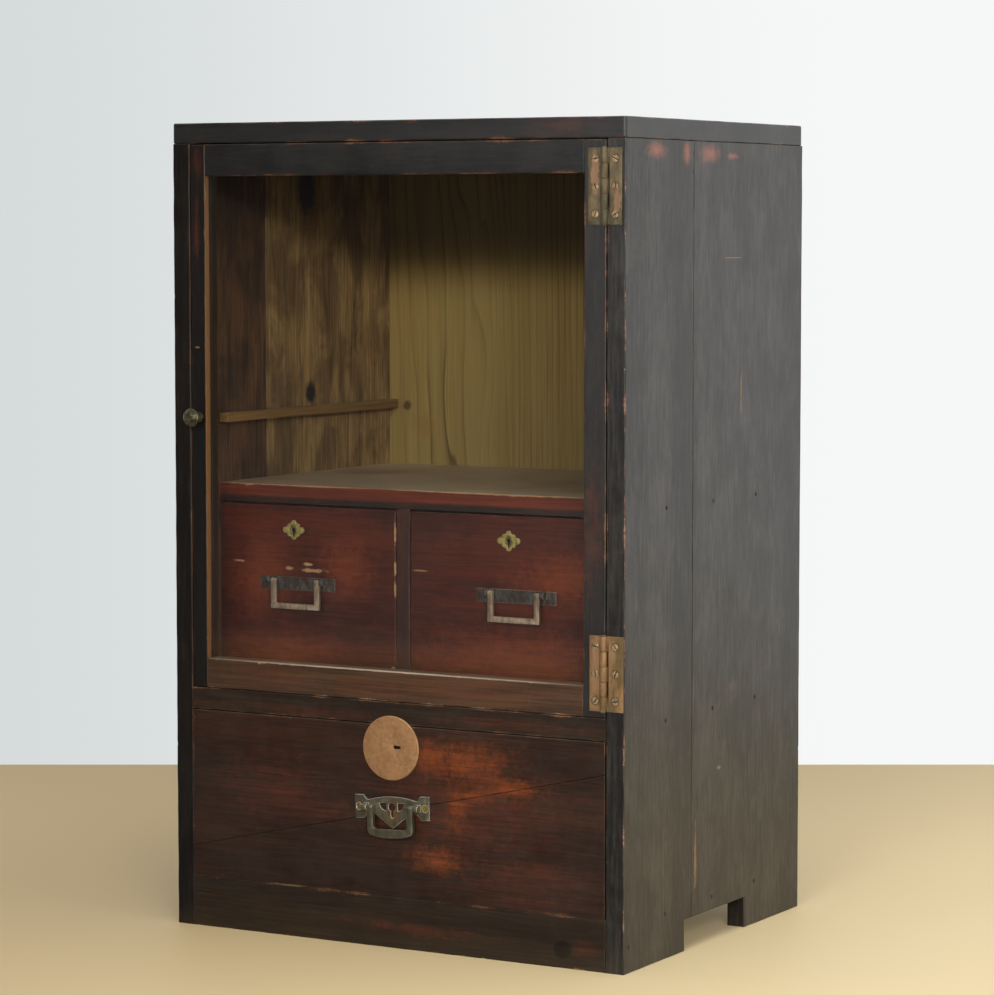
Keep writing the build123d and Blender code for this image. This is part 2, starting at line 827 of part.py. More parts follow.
for sign in (-1, 1):
    spike_start = (disc_x + sign * disc_radius * disc_spike_share, lower_face, disc_z - disc_radius / 4)
    disc = disc + rod(spike_start, (0, 1, 0), disc_spike_radius, disc_spike_length)
    spike_holes.append(rod(spike_start, (0, 1, 0), disc_spike_radius + screw_clearance, disc_spike_length))

# The pull plate's outline, about the pivot line: fishtail ends, an arched top and a pointed apron
half = lower_plate_half_width
tail = half - lower_plate_end_width
with BuildSketch() as plate_builder:
    with BuildLine():
        Polyline(
            (-lower_plate_shoulder_x, -lower_plate_shoulder_drop),
            (-lower_plate_waist_x, -lower_plate_neck_half_height),
            (-tail, -lower_plate_end_half_height),
            (-half, -lower_plate_end_half_height),
            (-half, lower_plate_end_half_height),
            (-tail, lower_plate_end_half_height),
            (-lower_plate_waist_x, lower_plate_neck_half_height),
        )
        ThreePointArc(
            (-lower_plate_waist_x, lower_plate_neck_half_height),
            (0, lower_plate_arch_rise),
            (lower_plate_waist_x, lower_plate_neck_half_height),
        )
        Polyline(
            (lower_plate_waist_x, lower_plate_neck_half_height),
            (tail, lower_plate_end_half_height),
            (half, lower_plate_end_half_height),
            (half, -lower_plate_end_half_height),
            (tail, -lower_plate_end_half_height),
            (lower_plate_waist_x, -lower_plate_neck_half_height),
            (lower_plate_shoulder_x, -lower_plate_shoulder_drop),
            (0, -lower_plate_tip_drop),
            (-lower_plate_shoulder_x, -lower_plate_shoulder_drop),
        )
    make_face()
plate_outline = plate_builder.sketch
eye = Circle(lower_eye_radius) + Pos(0, -lower_eye_slot_drop / 2) * Rectangle(
    lower_eye_slot_width, lower_eye_slot_drop
)
plate_outline = plate_outline - eye
for sign in (-1, 1):
    lobe = Pos(sign * lower_lobe_x, lower_eye_radius) * Circle(lower_lobe_radius)
    quarter = Pos(
        sign * (lower_lobe_x + lower_lobe_radius / 2), lower_eye_radius - lower_lobe_radius / 2
    ) * Rectangle(lower_lobe_radius, lower_lobe_radius)
    plate_outline = plate_outline - (lobe & quarter)

pull_place = Pos(lower_pull_x, lower_face - pull_pivot_reach, lower_floor + lower_pull_rise) * Rot(
    0, -lower_pull_tilt, 0
)
lower_plate = plate_solid(plate_outline, lower_plate_thickness)
for post in posts(lower_bail_width, lower_post_width, lower_plate_thickness, lower_front_thickness):
    lower_plate = lower_plate + post
pull_screws = []
pull_screw_holes = []
for sign, turn in ((-1, 20), (1, 75)):
    place = (sign * (half - lower_plate_end_width / 2), pull_pivot_reach - lower_plate_thickness, 0)
    pull_screws.append(pull_place * screw_shape(place, 0, turn))
    pull_screw_holes.append(pull_place * screw_shape(place, screw_clearance, None))
lower_tail_holes = tail_holes(lower_bail_width, lower_post_width, lower_front_thickness)
holes = [pull_place * hole for hole in lower_tail_holes]
lower_bail = bail(
    lower_bail_width,
    lower_bail_drop,
    lower_bail_bow,
    lower_bail_arm,
    lower_bail_bar,
    lower_bail_thickness,
    lower_bail_corner,
    lower_bail_inner_corner,
    lower_post_width,
)

# The drawer front is two tapered boards that meet on a slanting seam
face = face - lock_cuts - holes - spike_holes - pull_screw_holes - [key_cut]
seam_region = Polygon(
    (lower_left, lower_floor),
    (lower_right, lower_floor),
    (lower_right, lower_floor + seam_right_height),
    (lower_left, lower_floor + seam_left_height),
    align=None,
)
below_seam = extrude(facing(0, lower_inside, 0) * seam_region, lower_front_thickness)
save("lower_drawer_front_lower_board", face & below_seam)
save("lower_drawer_front_upper_board", face - below_seam)
save("lower_drawer_left_side", left_board)
save("lower_drawer_right_side", right_board)
save("lower_drawer_back", back)
save("lower_drawer_bottom", bottom)
save("lower_lock_disc", disc - key_cut)
save("lower_pull_plate", pull_place * lower_plate - pull_screw_holes)
save("lower_pull_screws", pull_screws)
save("lower_bail", pull_place * lower_bail)
save("lower_lock_case", lock_case - key_cut)
save("lower_lock_bolt", bolt)
save("mid_board", nailed(mid_board) - mortise)
save("shelf_board", nailed(shelf_board) - mortises)
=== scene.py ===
import json
import math

import bmesh
import bpy
import numpy as np
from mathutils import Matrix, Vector


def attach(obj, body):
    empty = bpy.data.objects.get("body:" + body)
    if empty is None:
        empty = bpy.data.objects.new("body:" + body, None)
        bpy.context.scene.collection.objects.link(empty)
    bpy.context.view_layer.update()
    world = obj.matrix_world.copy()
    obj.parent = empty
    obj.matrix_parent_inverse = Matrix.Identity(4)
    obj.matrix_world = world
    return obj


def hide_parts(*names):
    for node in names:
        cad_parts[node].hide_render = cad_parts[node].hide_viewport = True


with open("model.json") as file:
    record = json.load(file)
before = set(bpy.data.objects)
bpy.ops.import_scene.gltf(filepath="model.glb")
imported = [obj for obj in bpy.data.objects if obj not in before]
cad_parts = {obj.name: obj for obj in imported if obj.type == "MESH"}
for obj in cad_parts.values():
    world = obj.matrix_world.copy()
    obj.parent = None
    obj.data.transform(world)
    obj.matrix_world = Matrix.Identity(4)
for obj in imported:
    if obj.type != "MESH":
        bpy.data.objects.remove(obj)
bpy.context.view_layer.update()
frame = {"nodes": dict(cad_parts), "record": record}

bodyOf = {node: body for body, nodes in frame["record"]["behaviour"]["bodies"].items() for node in nodes}
mm = 0.001
bpy.context.scene.view_settings.view_transform = "Standard"


def tone(red, green, blue):
    # a colour as seen on screen, 0 to 255, turned to the light it stands for: ((c + 0.055) / 1.055) ** 2.4
    seen = [value / 255 for value in (red, green, blue)]
    return tuple(c / 12.92 if c < 0.04 else ((c + 0.055) / 1.055) ** 2.4 for c in seen) + (1.0,)


# Shader helpers: each adds one node to a tree and hands back its output

def put(tree, kind, inputs=None, **settings):
    made = tree.nodes.new(kind)
    for key, value in settings.items():
        setattr(made, key, value)
    for socket, value in (inputs or {}).items():
        if isinstance(value, bpy.types.NodeSocket):
            tree.links.new(value, made.inputs[socket])
        else:
            made.inputs[socket].default_value = value
    return made


def calc(tree, operation, a, b=0.5, c=0.5):
    return put(tree, "ShaderNodeMath", {0: a, 1: b, 2: c}, operation=operation).outputs[0]


def vect(tree, operation, a, b=(0.0, 0.0, 0.0)):
    made = put(tree, "ShaderNodeVectorMath", {0: a, "Scale" if operation == "SCALE" else 1: b}, operation=operation)
    return made.outputs["Value" if operation == "LENGTH" else 0]


def cloud(tree, place, scale, detail=3.0, rough=0.55, warp=0.0):
    return put(tree, "ShaderNodeTexNoise", {"Vector": place, "Scale": scale, "Detail": detail, "Roughness": rough,
                                            "Distortion": warp}).outputs[0]


def ranged(tree, value, low, high, first=0.0, last=1.0, soft=True):
    kind = "SMOOTHSTEP" if soft else "LINEAR"
    return put(tree, "ShaderNodeMapRange", {0: value, 1: low, 2: high, 3: first, 4: last},
               interpolation_type=kind).outputs[0]


def mixed(tree, share, a, b):
    return put(tree, "ShaderNodeMix", {0: share, 6: a, 7: b}, data_type="RGBA").outputs[2]


def times(tree, a, b):
    return calc(tree, "MULTIPLY", a, b)


def timesPlus(tree, a, b, c):
    return calc(tree, "MULTIPLY_ADD", a, b, c)


def minus(tree, a, b):
    return calc(tree, "SUBTRACT", a, b)


def greatest(tree, a, b):
    return calc(tree, "MAXIMUM", a, b)


def parts(tree, vector):
    return put(tree, "ShaderNodeSeparateXYZ", {0: vector}).outputs


def drawn(tree, place, x, y, z):
    # the place scaled along each axis; less than 1 draws a pattern out along that axis
    return vect(tree, "MULTIPLY", place, (x, y, z))


def openGroup(name, wants, gives):
    group = bpy.data.node_groups.new(name, "ShaderNodeTree")
    for label, kind, value in wants:
        made = group.interface.new_socket(name=label, in_out="INPUT", socket_type=kind)
        made.default_value = value
    for label in gives:
        group.interface.new_socket(name=label, in_out="OUTPUT", socket_type="NodeSocketFloat")
    return group, put(group, "NodeGroupInput").outputs, put(group, "NodeGroupOutput").inputs


def useGroup(tree, group, inputs):
    return put(tree, "ShaderNodeGroup", inputs, node_tree=group).outputs


def ownPlace(tree):
    # the place in the piece's own frame, which is the shared frame at rest
    return put(tree, "ShaderNodeTexCoord").outputs["Object"]


number, arrow = "NodeSocketFloat", "NodeSocketVector"
origin = (0.0, 0.0, 0.0)

print("stage: shader groups")


def makeBoardGrain():
    # Rings: r = |(x + lean z + warp, y) - pith| / spacing, shown as fract(r) ** 5 with a soft drop after each
    # line and dimmed by a slow cloud. Fibre and Drift are clouds drawn out along the grain, which runs along Z.
    group, ins, outs = openGroup("boardGrain", [
        ("Place", arrow, origin), ("Pith", arrow, origin), ("Spacing", number, 0.004), ("Lean", number, 0.0),
        ("Warp", number, 0.01)], ["Rings", "Fibre", "Drift"])
    place = ins["Place"]
    slow = drawn(group, place, 1.0, 1.0, 0.16)
    warp = minus(group, cloud(group, slow, 22.0, 2.0), 0.5)
    shifted = vect(group, "SUBTRACT", place, ins["Pith"])
    split = parts(group, shifted)
    leaned = timesPlus(group, split[2], ins["Lean"], split[0])
    across = timesPlus(group, warp, ins["Warp"], leaned)
    flat = put(group, "ShaderNodeCombineXYZ", {0: across, 1: split[1]}).outputs[0]
    ring = calc(group, "DIVIDE", vect(group, "LENGTH", flat), ins["Spacing"])
    uneven = timesPlus(group, cloud(group, drawn(group, place, 1, 1, 0.05), 60.0, 1.0), 1.6, ring)
    saw = calc(group, "FRACT", uneven)
    rise = calc(group, "POWER", saw, 5.0)
    drop = ranged(group, saw, 0.9, 1.0, 1.0, 0.0)
    faint = ranged(group, cloud(group, drawn(group, place, 1, 1, 0.2), 17.0, 3.0), 0.34, 0.66, 0.25, 1.5)
    group.links.new(times(group, times(group, rise, drop), faint), outs["Rings"])
    fine = drawn(group, place, 1.0, 1.0, 0.02)
    group.links.new(cloud(group, fine, 900.0, 3.0, 0.6), outs["Fibre"])
    broad = drawn(group, place, 1.0, 1.0, 0.09)
    group.links.new(cloud(group, broad, 55.0, 3.0, 0.6), outs["Drift"])
    return group


def makeArrisWear():
    # the distance to the nearest arris is the second smallest of the three distances to the board's faces;
    # the mask fades over Reach, which a slow cloud stretches, and a fine cloud breaks it up
    group, ins, outs = openGroup("arrisWear", [
        ("From Low", arrow, origin), ("To High", arrow, origin), ("Place", arrow, origin),
        ("Reach", number, 0.0015), ("Broken", number, 0.5)], ["Mask"])
    nearest = parts(group, vect(group, "MINIMUM", ins["From Low"], ins["To High"]))
    lesser = calc(group, "MINIMUM", nearest[0], nearest[1])
    greater = greatest(group, nearest[0], nearest[1])
    arris = greatest(group, lesser, calc(group, "MINIMUM", greater, nearest[2]))
    slow = cloud(group, ins["Place"], 38.0, 3.0, 0.65)
    stretch = calc(group, "POWER", ranged(group, slow, 0.4, 0.74, 0.25, 1.45), 2.0)
    reach = times(group, ins["Reach"], stretch)
    near = minus(group, 1.0, calc(group, "DIVIDE", arris, calc(group, "ADD", reach, 1e-5)))
    fine = cloud(group, ins["Place"], 420.0, 4.0, 0.6)
    broken = timesPlus(group, minus(group, fine, 0.5), times(group, ins["Broken"], 6.0), near)
    group.links.new(ranged(group, broken, 0.0, 0.45), outs["Mask"])
    return group


def makeWornSpot():
    # an ellipsoid with a ragged rim: 1 - step(|(place - centre) / size| + (cloud - 0.5) * ragged), where the step
    # is soft from Inner to 1.05; Before is the mask of the spots so far
    group, ins, outs = openGroup("wornSpot", [
        ("Place", arrow, origin), ("Centre", arrow, origin), ("Size", arrow, (0.01, 0.01, 0.01)),
        ("Ragged", number, 1.0), ("Inner", number, 0.45), ("Before", number, 0.0)], ["Mask"])
    away = vect(group, "DIVIDE", vect(group, "SUBTRACT", ins["Place"], ins["Centre"]), ins["Size"])
    rim = minus(group, cloud(group, ins["Place"], 190.0, 4.0, 0.7), 0.5)
    far = timesPlus(group, rim, ins["Ragged"], vect(group, "LENGTH", away))
    mask = ranged(group, far, ins["Inner"], 1.05, 1.0, 0.0)
    group.links.new(greatest(group, mask, ins["Before"]), outs["Mask"])
    return group


def makeHairlines():
    # thin scratches: where a cloud passes through one half, |cloud - 0.5| < width, broken up by another cloud
    group, ins, outs = openGroup("hairlines", [
        ("Place", arrow, origin), ("Scale", number, 30.0), ("Width", number, 0.004)], ["Mask"])
    lines = cloud(group, ins["Place"], ins["Scale"], 1.0, 0.4)
    apart = calc(group, "ABSOLUTE", minus(group, lines, 0.5))
    thin = minus(group, 1.0, calc(group, "DIVIDE", apart, ins["Width"]))
    gaps = ranged(group, cloud(group, ins["Place"], times(group, ins["Scale"], 2.3), 2.0), 0.52, 0.62)
    group.links.new(times(group, greatest(group, thin, 0.0), gaps), outs["Mask"])
    return group


def makePatina():
    # Tarnish is a broad mottle with a ragged limit, Pits are the sparse low spots of a fine cloud
    group, ins, outs = openGroup("patina", [
        ("Place", arrow, origin), ("Scale", number, 180.0), ("Amount", number, 0.5)], ["Tarnish", "Pits", "Speck"])
    mottle = cloud(group, ins["Place"], ins["Scale"], 5.0, 0.68, 0.4)
    limit = minus(group, 0.78, times(group, ins["Amount"], 0.5))
    tarnish = ranged(group, mottle, minus(group, limit, 0.09), calc(group, "ADD", limit, 0.09))
    group.links.new(tarnish, outs["Tarnish"])
    fine = cloud(group, ins["Place"], times(group, ins["Scale"], 6.0), 3.0, 0.6)
    group.links.new(ranged(group, fine, 0.3, 0.42, 1.0, 0.0), outs["Pits"])
    group.links.new(cloud(group, ins["Place"], times(group, ins["Scale"], 3.0), 2.0, 0.6), outs["Speck"])
    return group


def makeSettledDust():
    # dust lies where the surface faces up, thicker in slow drifts
    group, ins, outs = openGroup("settledDust", [
        ("Place", arrow, origin), ("Normal", arrow, (0.0, 0.0, 1.0)), ("Amount", number, 0.5)], ["Mask"])
    up = ranged(group, parts(group, ins["Normal"])[2], 0.5, 0.9)
    drift = ranged(group, cloud(group, ins["Place"], 14.0, 5.0, 0.6), 0.3, 0.7, 0.45, 1.0)
    specks = ranged(group, cloud(group, ins["Place"], 900.0, 2.0), 0.35, 0.6, 0.7, 1.0)
    lying = times(group, times(group, up, drift), times(group, specks, ins["Amount"]))
    group.links.new(lying, outs["Mask"])
    return group


boardGrain, arrisWear, wornSpot = makeBoardGrain(), makeArrisWear(), makeWornSpot()
hairlines, patina, settledDust = makeHairlines(), makePatina(), makeSettledDust()


def startMaterial(name, shade):
    material = bpy.data.materials.new(name)
    material.use_nodes = True
    material.diffuse_color = shade
    tree = material.node_tree
    shader = tree.nodes["Principled BSDF"]
    return material, tree, shader


def spotsMask(tree, place, spots, inner=0.45):
    # the greatest of several ragged spots, worn ones and painted shade alike; each is (x, y, z, half width x, half
    # width y, half width z, ragged) in mm
    mask = 0.0
    for x, y, z, dx, dy, dz, ragged in spots:
        mask = useGroup(tree, wornSpot, {
            "Place": place, "Centre": (x * mm, y * mm, z * mm), "Size": (dx * mm, dy * mm, dz * mm),
            "Ragged": ragged, "Inner": inner, "Before": mask})["Mask"]
    return mask


def spotted(tree, place, colour, spots, shade, share=None, inner=0.45):
    # the colour with ragged spots of another tone in it, worn ones and painted shade alike, where a look has any
    if not spots:
        return colour
    mask = spotsMask(tree, place, spots, inner)
    return mixed(tree, mask if share is None else times(tree, mask, share), colour, shade)


print("stage: wood finishes")

alongX, alongY, alongZ = (0, 90, 0), (90, 0, 0), (0, 0, 0)  # turns that lay a board's grain along each axis


def stainedWood(name, look):
    # dark stain over a lighter ground: stain -> streaks -> red ground in flecks and spots -> bare wood on arrises
    material, tree, shader = startMaterial(name, look["stain"])
    place = ownPlace(tree)
    turned = put(tree, "ShaderNodeMapping", {0: place, 2: [math.radians(a) for a in look["grain"]]}).outputs[0]
    grain = useGroup(tree, boardGrain, {"Place": turned, "Pith": look["pith"], "Spacing": look["spacing"],
                                        "Lean": look["lean"], "Warp": look["warp"]})
    normal = put(tree, "ShaderNodeNewGeometry").outputs["Normal"]

    streak = ranged(tree, timesPlus(tree, grain["Fibre"], 0.5, times(tree, grain["Drift"], 0.5)), 0.42, 0.62)
    colour = mixed(tree, times(tree, streak, look["streaks"]), look["stain"], look["ground"])
    colour = mixed(tree, times(tree, grain["Rings"], look["rings"]), colour, look["line"])

    blotch = cloud(tree, place, 16.0, 4.0, 0.6)
    fleckNoise = cloud(tree, drawn(tree, turned, 1.0, 1.0, 0.12), 330.0, 4.0, 0.65)
    fleckLimit = 1.0 - look["flecks"]
    flecks = ranged(tree, timesPlus(tree, blotch, 0.45, fleckNoise), fleckLimit, fleckLimit + 0.06)
    colour = mixed(tree, times(tree, flecks, 0.6), colour, look["red"])
    scuffNoise = cloud(tree, drawn(tree, turned, 1.0, 1.0, 0.3), 620.0, 3.0, 0.7)
    scuffs = ranged(tree, timesPlus(tree, grain["Drift"], 0.6, scuffNoise), 1.02, 1.12)
    colour = mixed(tree, times(tree, scuffs, look["scuffs"]), colour, look["red"])
    veil = timesPlus(tree, streak, 0.5, ranged(tree, fleckNoise, 0.3, 0.7, 0.1, 0.5))
    colour = spotted(tree, place, colour, look["redSpots"], look["red"], times(tree, veil, look["rubShare"]), 0.0)
    if look["glowSpots"]:
        glow = spotsMask(tree, place, look["glowSpots"], -0.1)
        colour = mixed(tree, times(tree, calc(tree, "POWER", glow, 0.7), 0.75), colour, look["glowRim"])
        core = times(tree, calc(tree, "POWER", glow, 1.6), calc(tree, "ADD", veil, 0.15))
        colour = mixed(tree, core, colour, look["glow"])
    # stain spots such as the plug in the base rail, and painted shade on the shelf's lower edge and the small
    # fronts' top middle
    colour = spotted(tree, place, colour, look["stainSpots"], look["line"], look["stainShare"], look["stainInner"])

    weather, gloss = look["weather"], look["gloss"]
    if weather:  # a grey veil in bands and patches, which also takes the gloss up and down
        fineStreak = cloud(tree, drawn(tree, turned, 1.0, 1.0, 0.08), 520.0, 4.0, 0.7)
        bands = cloud(tree, drawn(tree, turned, 1.0, 1.0, 0.03), 20.0, 1.0)
        patches = cloud(tree, drawn(tree, place, 1.0, 1.0, 0.7), 34.0, 6.0, 0.7, 0.4)
        veiling = timesPlus(tree, patches, 0.4, timesPlus(tree, bands, 0.35, times(tree, fineStreak, 0.5)))
        colour = mixed(tree, ranged(tree, veiling, 0.55, 0.78, 0.0, weather), colour, look["veilTone"])
        gloss = ranged(tree, veiling, 0.45, 0.82, gloss * (1 - weather), gloss * (1 + weather * 0.6))

    chip = put(tree, "ShaderNodeAttribute", attribute_name="chip").outputs["Fac"]
    fromLow, toHigh = (put(tree, "ShaderNodeAttribute", attribute_name=label).outputs["Vector"]
                       for label in ("fromLow", "toHigh"))

    def worn(reach, broken):
        return useGroup(tree, arrisWear, {"From Low": fromLow, "To High": toHigh, "Place": place,
                                          "Reach": look["wear"] * reach, "Broken": broken})["Mask"]

    colour = mixed(tree, times(tree, worn(1.7, 0.4), look["redShare"]), colour, look["red"])
    bare = greatest(tree, times(tree, worn(0.7, 0.55), look["bareShare"]), ranged(tree, chip, 0.5, 0.9))
    if look["bareSpots"]:
        bare = greatest(tree, bare, spotsMask(tree, place, look["bareSpots"]))
    colour = mixed(tree, bare, colour, look["bare"])

    rough = timesPlus(tree, blotch, 0.12, look["rough"])
    if "inner" in look:  # the face towards the inside is not stained
        darker, paler, line, knotTone = look["inner"]
        side = parts(tree, vect(tree, "ABSOLUTE", place))[0]
        facing = parts(tree, vect(tree, "ABSOLUTE", normal))[0]
        inside = times(tree, calc(tree, "LESS_THAN", side, innerLimit), calc(tree, "GREATER_THAN", facing, 0.8))
        patch = ranged(tree, cloud(tree, drawn(tree, place, 1.0, 1.0, 0.6), 30.0, 4.0, 0.6, 0.5), 0.4, 0.6)
        inner = mixed(tree, timesPlus(tree, patch, 0.7, times(tree, streak, 0.3)), darker, paler)
        inner = mixed(tree, times(tree, grain["Rings"], 0.7), inner, line)
        streaky = ranged(tree, cloud(tree, drawn(tree, turned, 1.0, 1.0, 0.1), 160.0, 4.0, 0.65), 0.5, 0.66)
        inner = mixed(tree, times(tree, streaky, look["innerStreaks"]), inner, line)
        fine = cloud(tree, drawn(tree, turned, 1.0, 1.0, 0.04), 640.0, 3.0, 0.6)
        inner = vect(tree, "SCALE", inner, ranged(tree, fine, 0.36, 0.64, 0.72, 1.2))
        inner = vect(tree, "SCALE", inner, ranged(tree, parts(tree, place)[2], *innerShade))
        inner = spotted(tree, place, inner, look["knots"], knotTone)
        colour = mixed(tree, inside, colour, inner)
        rough = mixed(tree, inside, rough, (0.62, 0.62, 0.62, 1.0))
    colour = spotted(tree, place, colour, look["paleSpots"], look["palest"], 0.62, 0.0)
    # real dark marks, and painted shade: black where the wood shows through a keyhole
    colour = spotted(tree, place, colour, look["darkSpots"], (0.004, 0.003, 0.003, 1.0))
    scratch = useGroup(tree, hairlines, {"Place": vect(tree, "MULTIPLY", place, look["scratchWay"]), "Scale": 34.0,
                                         "Width": 0.0022})["Mask"]
    colour = mixed(tree, times(tree, scratch, look["scratches"]), colour, look["bare"])
    dust = useGroup(tree, settledDust, {"Place": place, "Normal": normal, "Amount": look["dust"]})["Mask"]
    colour = mixed(tree, dust, colour, look["dustTone"])
    if "shade" in look:  # painted shade: the back's inner face is darker from one height up
        split = parts(tree, place)
        foot, top, least = look["shade"]
        shaded = ranged(tree, split[2], foot, top, 1.0, least)
        behind = calc(tree, "GREATER_THAN", split[1], backMiddle)
        colour = vect(tree, "SCALE", colour, greatest(tree, shaded, behind))
    tree.links.new(colour, shader.inputs["Base Color"])
    rough = timesPlus(tree, grain["Fibre"], 0.1, rough)
    rough = greatest(tree, rough, times(tree, greatest(tree, bare, dust), 0.7))
    tree.links.new(rough, shader.inputs["Roughness"])
    if weather:
        tree.links.new(gloss, shader.inputs["Specular IOR Level"])
    else:
        shader.inputs["Specular IOR Level"].default_value = gloss

    height = timesPlus(tree, grain["Fibre"], 0.6, times(tree, grain["Rings"], look["relief"]))
    height = minus(tree, height, times(tree, bare, 0.8))
    height = minus(tree, height, times(tree, scratch, look["scratches"] * 6.0))
    bump = put(tree, "ShaderNodeBump", {"Strength": look["bump"], "Distance": 0.0001, "Height": height})
    tree.links.new(bump.outputs[0], shader.inputs["Normal"])
    return material


finishes, slotOf = {}, {}


def addFinish(make, name, look, **changes):
    # one material; its look also names one of the record's slots, which is kept in slotOf
    look = {**look, **changes}
    finishes[name], slotOf[name] = make(name, look), look["slot"]


innerLimit = 0.1695  # the sides' inner faces are at 0.168, and their outer ones at 0.182
innerShade = (0.44, 0.53, 1.0, 0.45)  # from this height to that one the inner faces fall from full light to less
backMiddle = 0.1415  # halfway through the back boards
plainLook = {
    "pith": (0.31, 0.35, 0.0), "spacing": 0.0035, "lean": 0.02, "warp": 0.02, "scuffs": 0.5, "rubShare": 0.7,
    "stainInner": 0.45, "stainShare": 0.85, "weather": 0.0, "veilTone": tone(92, 86, 78), "redShare": 0.35,
    "bareShare": 0.45, "innerStreaks": 0.4, "scratchWay": (0.25, 1.0, 1.0), "scratches": 0.1, "dust": 0.35,
    "dustTone": tone(150, 143, 122), "relief": 0.35, "bump": 0.35, "palest": tone(196, 118, 94),
    "redSpots": [], "glowSpots": [], "stainSpots": [], "bareSpots": [], "knots": [], "paleSpots": [],
    "darkSpots": []}
caseLook = {
    **plainLook, "slot": "stained_case_wood", "stain": tone(17, 14, 12), "ground": tone(36, 28, 22),
    "line": tone(10, 8, 7), "red": tone(104, 50, 36), "bare": tone(158, 122, 88), "streaks": 0.6, "flecks": 0.02,
    "wear": 0.0009, "rough": 0.27, "grain": alongZ, "gloss": 0.95, "rings": 0.12, "weather": 0.3}
rightLook = {
    **caseLook,
    "redSpots": [(182, 30.5, 178, 4, 16, 4, 2.0), (182, 84.5, 184, 4, 12, 4, 2.0)],
    "paleSpots": [(182, -89.5, 554, 4, 19, 7, 1.2), (182, -43.5, 553, 4, 8, 11, 1.0),
                  (182, -8.5, 553, 4, 20, 9, 1.0), (182, 28, 552, 4, 12, 3, 1.4)],
    "bareSpots": [(182, -26.5, 64, 3, 1.9, 26, 1.7), (182, 28.5, 481, 3, 17, 0.5, 0.8),
                  (182, 10.5, 122, 3, 4, 1.8, 1.6), (182, 43.5, 386, 3, 1.2, 18, 2.2)],
    "darkSpots": [(182, -70.5, 522, 3, 1.4, 1.8, 0.6), (182, 49.5, 500, 3, 1.3, 1.6, 0.6),
                  (182, -98.2, 215, 3, 1.6, 2.2, 0.8), (182, 24.5, 135, 3, 1.4, 1.8, 0.6),
                  (182, 108.5, 127, 3, 1.4, 1.8, 0.6), (182, -63.5, 330, 3, 1.2, 4, 1.0),
                  (182, -0.5, 318, 3, 0.8, 12, 1.2)]}
innerFront = (tone(62, 42, 30), tone(106, 72, 46), tone(36, 20, 15), tone(20, 15, 13))
innerRear = (tone(118, 90, 58), tone(178, 143, 92), tone(66, 44, 28), tone(26, 20, 20))
leftLook = dict(caseLook, redSpots=[(-164, -133.5, 540, 5, 4, 34, 1.6)], gloss=0.5, weather=0.1,
    stain=tone(17, 13, 10), ground=tone(30, 23, 17), redShare=0.1, bareShare=0.2, wear=0.0006)
knotPlaces = [(-168, 25, 378, 3, 9, 10.5, 0.5), (-168, 20.5, 530, 3, 17, 24, 0.8)]
addFinish(stainedWood, "sideFront", rightLook, inner=innerFront, innerStreaks=0.8, spacing=0.011,
    bare=tone(190, 154, 130))
addFinish(stainedWood, "leftFront", leftLook, inner=innerFront, innerStreaks=0.8, spacing=0.011)
addFinish(stainedWood, "leftRear", leftLook, inner=innerRear, knots=knotPlaces, spacing=0.0075,
    pith=(0.06, 0.02, 0.0), lean=0.03, warp=0.03)
addFinish(stainedWood, "sideRear", rightLook, inner=innerRear, spacing=0.0075, pith=(0.06, 0.02, 0.0), lean=0.03,
    warp=0.03)
addFinish(stainedWood, "topWood", caseLook, grain=alongX, rings=0.0, flecks=0.03,
    redSpots=[(134, -133.5, 570, 34, 3, 9, 1.6)], stain=tone(17, 16, 17), ground=tone(27, 25, 26),
    scratchWay=(1.0, 1.0, 0.3), weather=0.1)
addFinish(stainedWood, "caseLevel", caseLook, grain=alongX, rings=0.0, flecks=0.04, stain=tone(39, 29, 21),
    ground=tone(64, 48, 34), gloss=0.5, weather=0.12, bare=tone(172, 140, 106),
    redSpots=[(153, -133.5, 16, 16, 3, 9, 1.2), (90, -133.5, 164, 90, 3, 6, 2.0),
    (-60, -133.5, 162, 110, 3, 5, 2.4), (20, -133.5, 15, 60, 3, 6, 2.6)],
    stainSpots=[(135, -133.5, 12.7, 7.4, 3, 7.0, 0.25), (133.5, -133.5, 13.6, 5.4, 3, 5.2, 0.2)], stainInner=0.8,
    stainShare=0.62, relief=0.0, bareSpots=[(-88, -133.5, 36, 16, 2, 0.4, 2.2)], scratches=0.0)
doorLook = dict(caseLook, slot="door_wood", weather=0.12)
addFinish(stainedWood, "doorUpright", doorLook, stain=tone(22, 20, 20), ground=tone(36, 32, 30),
    redSpots=[(151.5, -133.5, 492, 3, 3, 26, 1.8), (158, -133.5, 300, 9, 3, 60, 2.4)])
addFinish(stainedWood, "doorTop", doorLook, grain=alongX, rings=0.0, flecks=0.02, stain=tone(20, 20, 21),
    ground=tone(31, 29, 30), scratchWay=(1.0, 1.0, 0.3), gloss=0.7)
addFinish(stainedWood, "doorLevel", doorLook, grain=alongX, rings=0.0, flecks=0.07, stain=tone(66, 48, 36),
    ground=tone(106, 81, 60), gloss=0.5, scuffs=0.8, redSpots=[(-100, -133.5, 184, 70, 4, 14, 1.6),
    (60, -133.5, 184, 110, 4, 13, 1.8), (-20, -133.5, 182, 60, 4, 12, 2.0)],
    bareSpots=[(0, -132, 194.6, 200, 2.8, 1.3, 0.3)], scratchWay=(1.0, 1.0, 0.3), rubShare=0.9,
    red=tone(108, 64, 44), bare=tone(214, 192, 166))
addFinish(stainedWood, "doorLeftUpright", doorLook, stain=tone(18, 14, 11), ground=tone(30, 23, 17),
    bare=tone(132, 92, 52), weather=0.0, flecks=0.0, wear=0.0004, bareShare=0.1, redShare=0.1, gloss=0.6,
    redSpots=[(-161, -133.5, 548, 5, 3, 16, 1.4), (-162, -133.5, 500, 4, 3, 30, 2.0)],
    bareSpots=[(-154.9, -131.1, 366, 0.8, 3.6, 400, 0.25), (-162, -133.5, 417, 3, 2, 1, 1.0)])
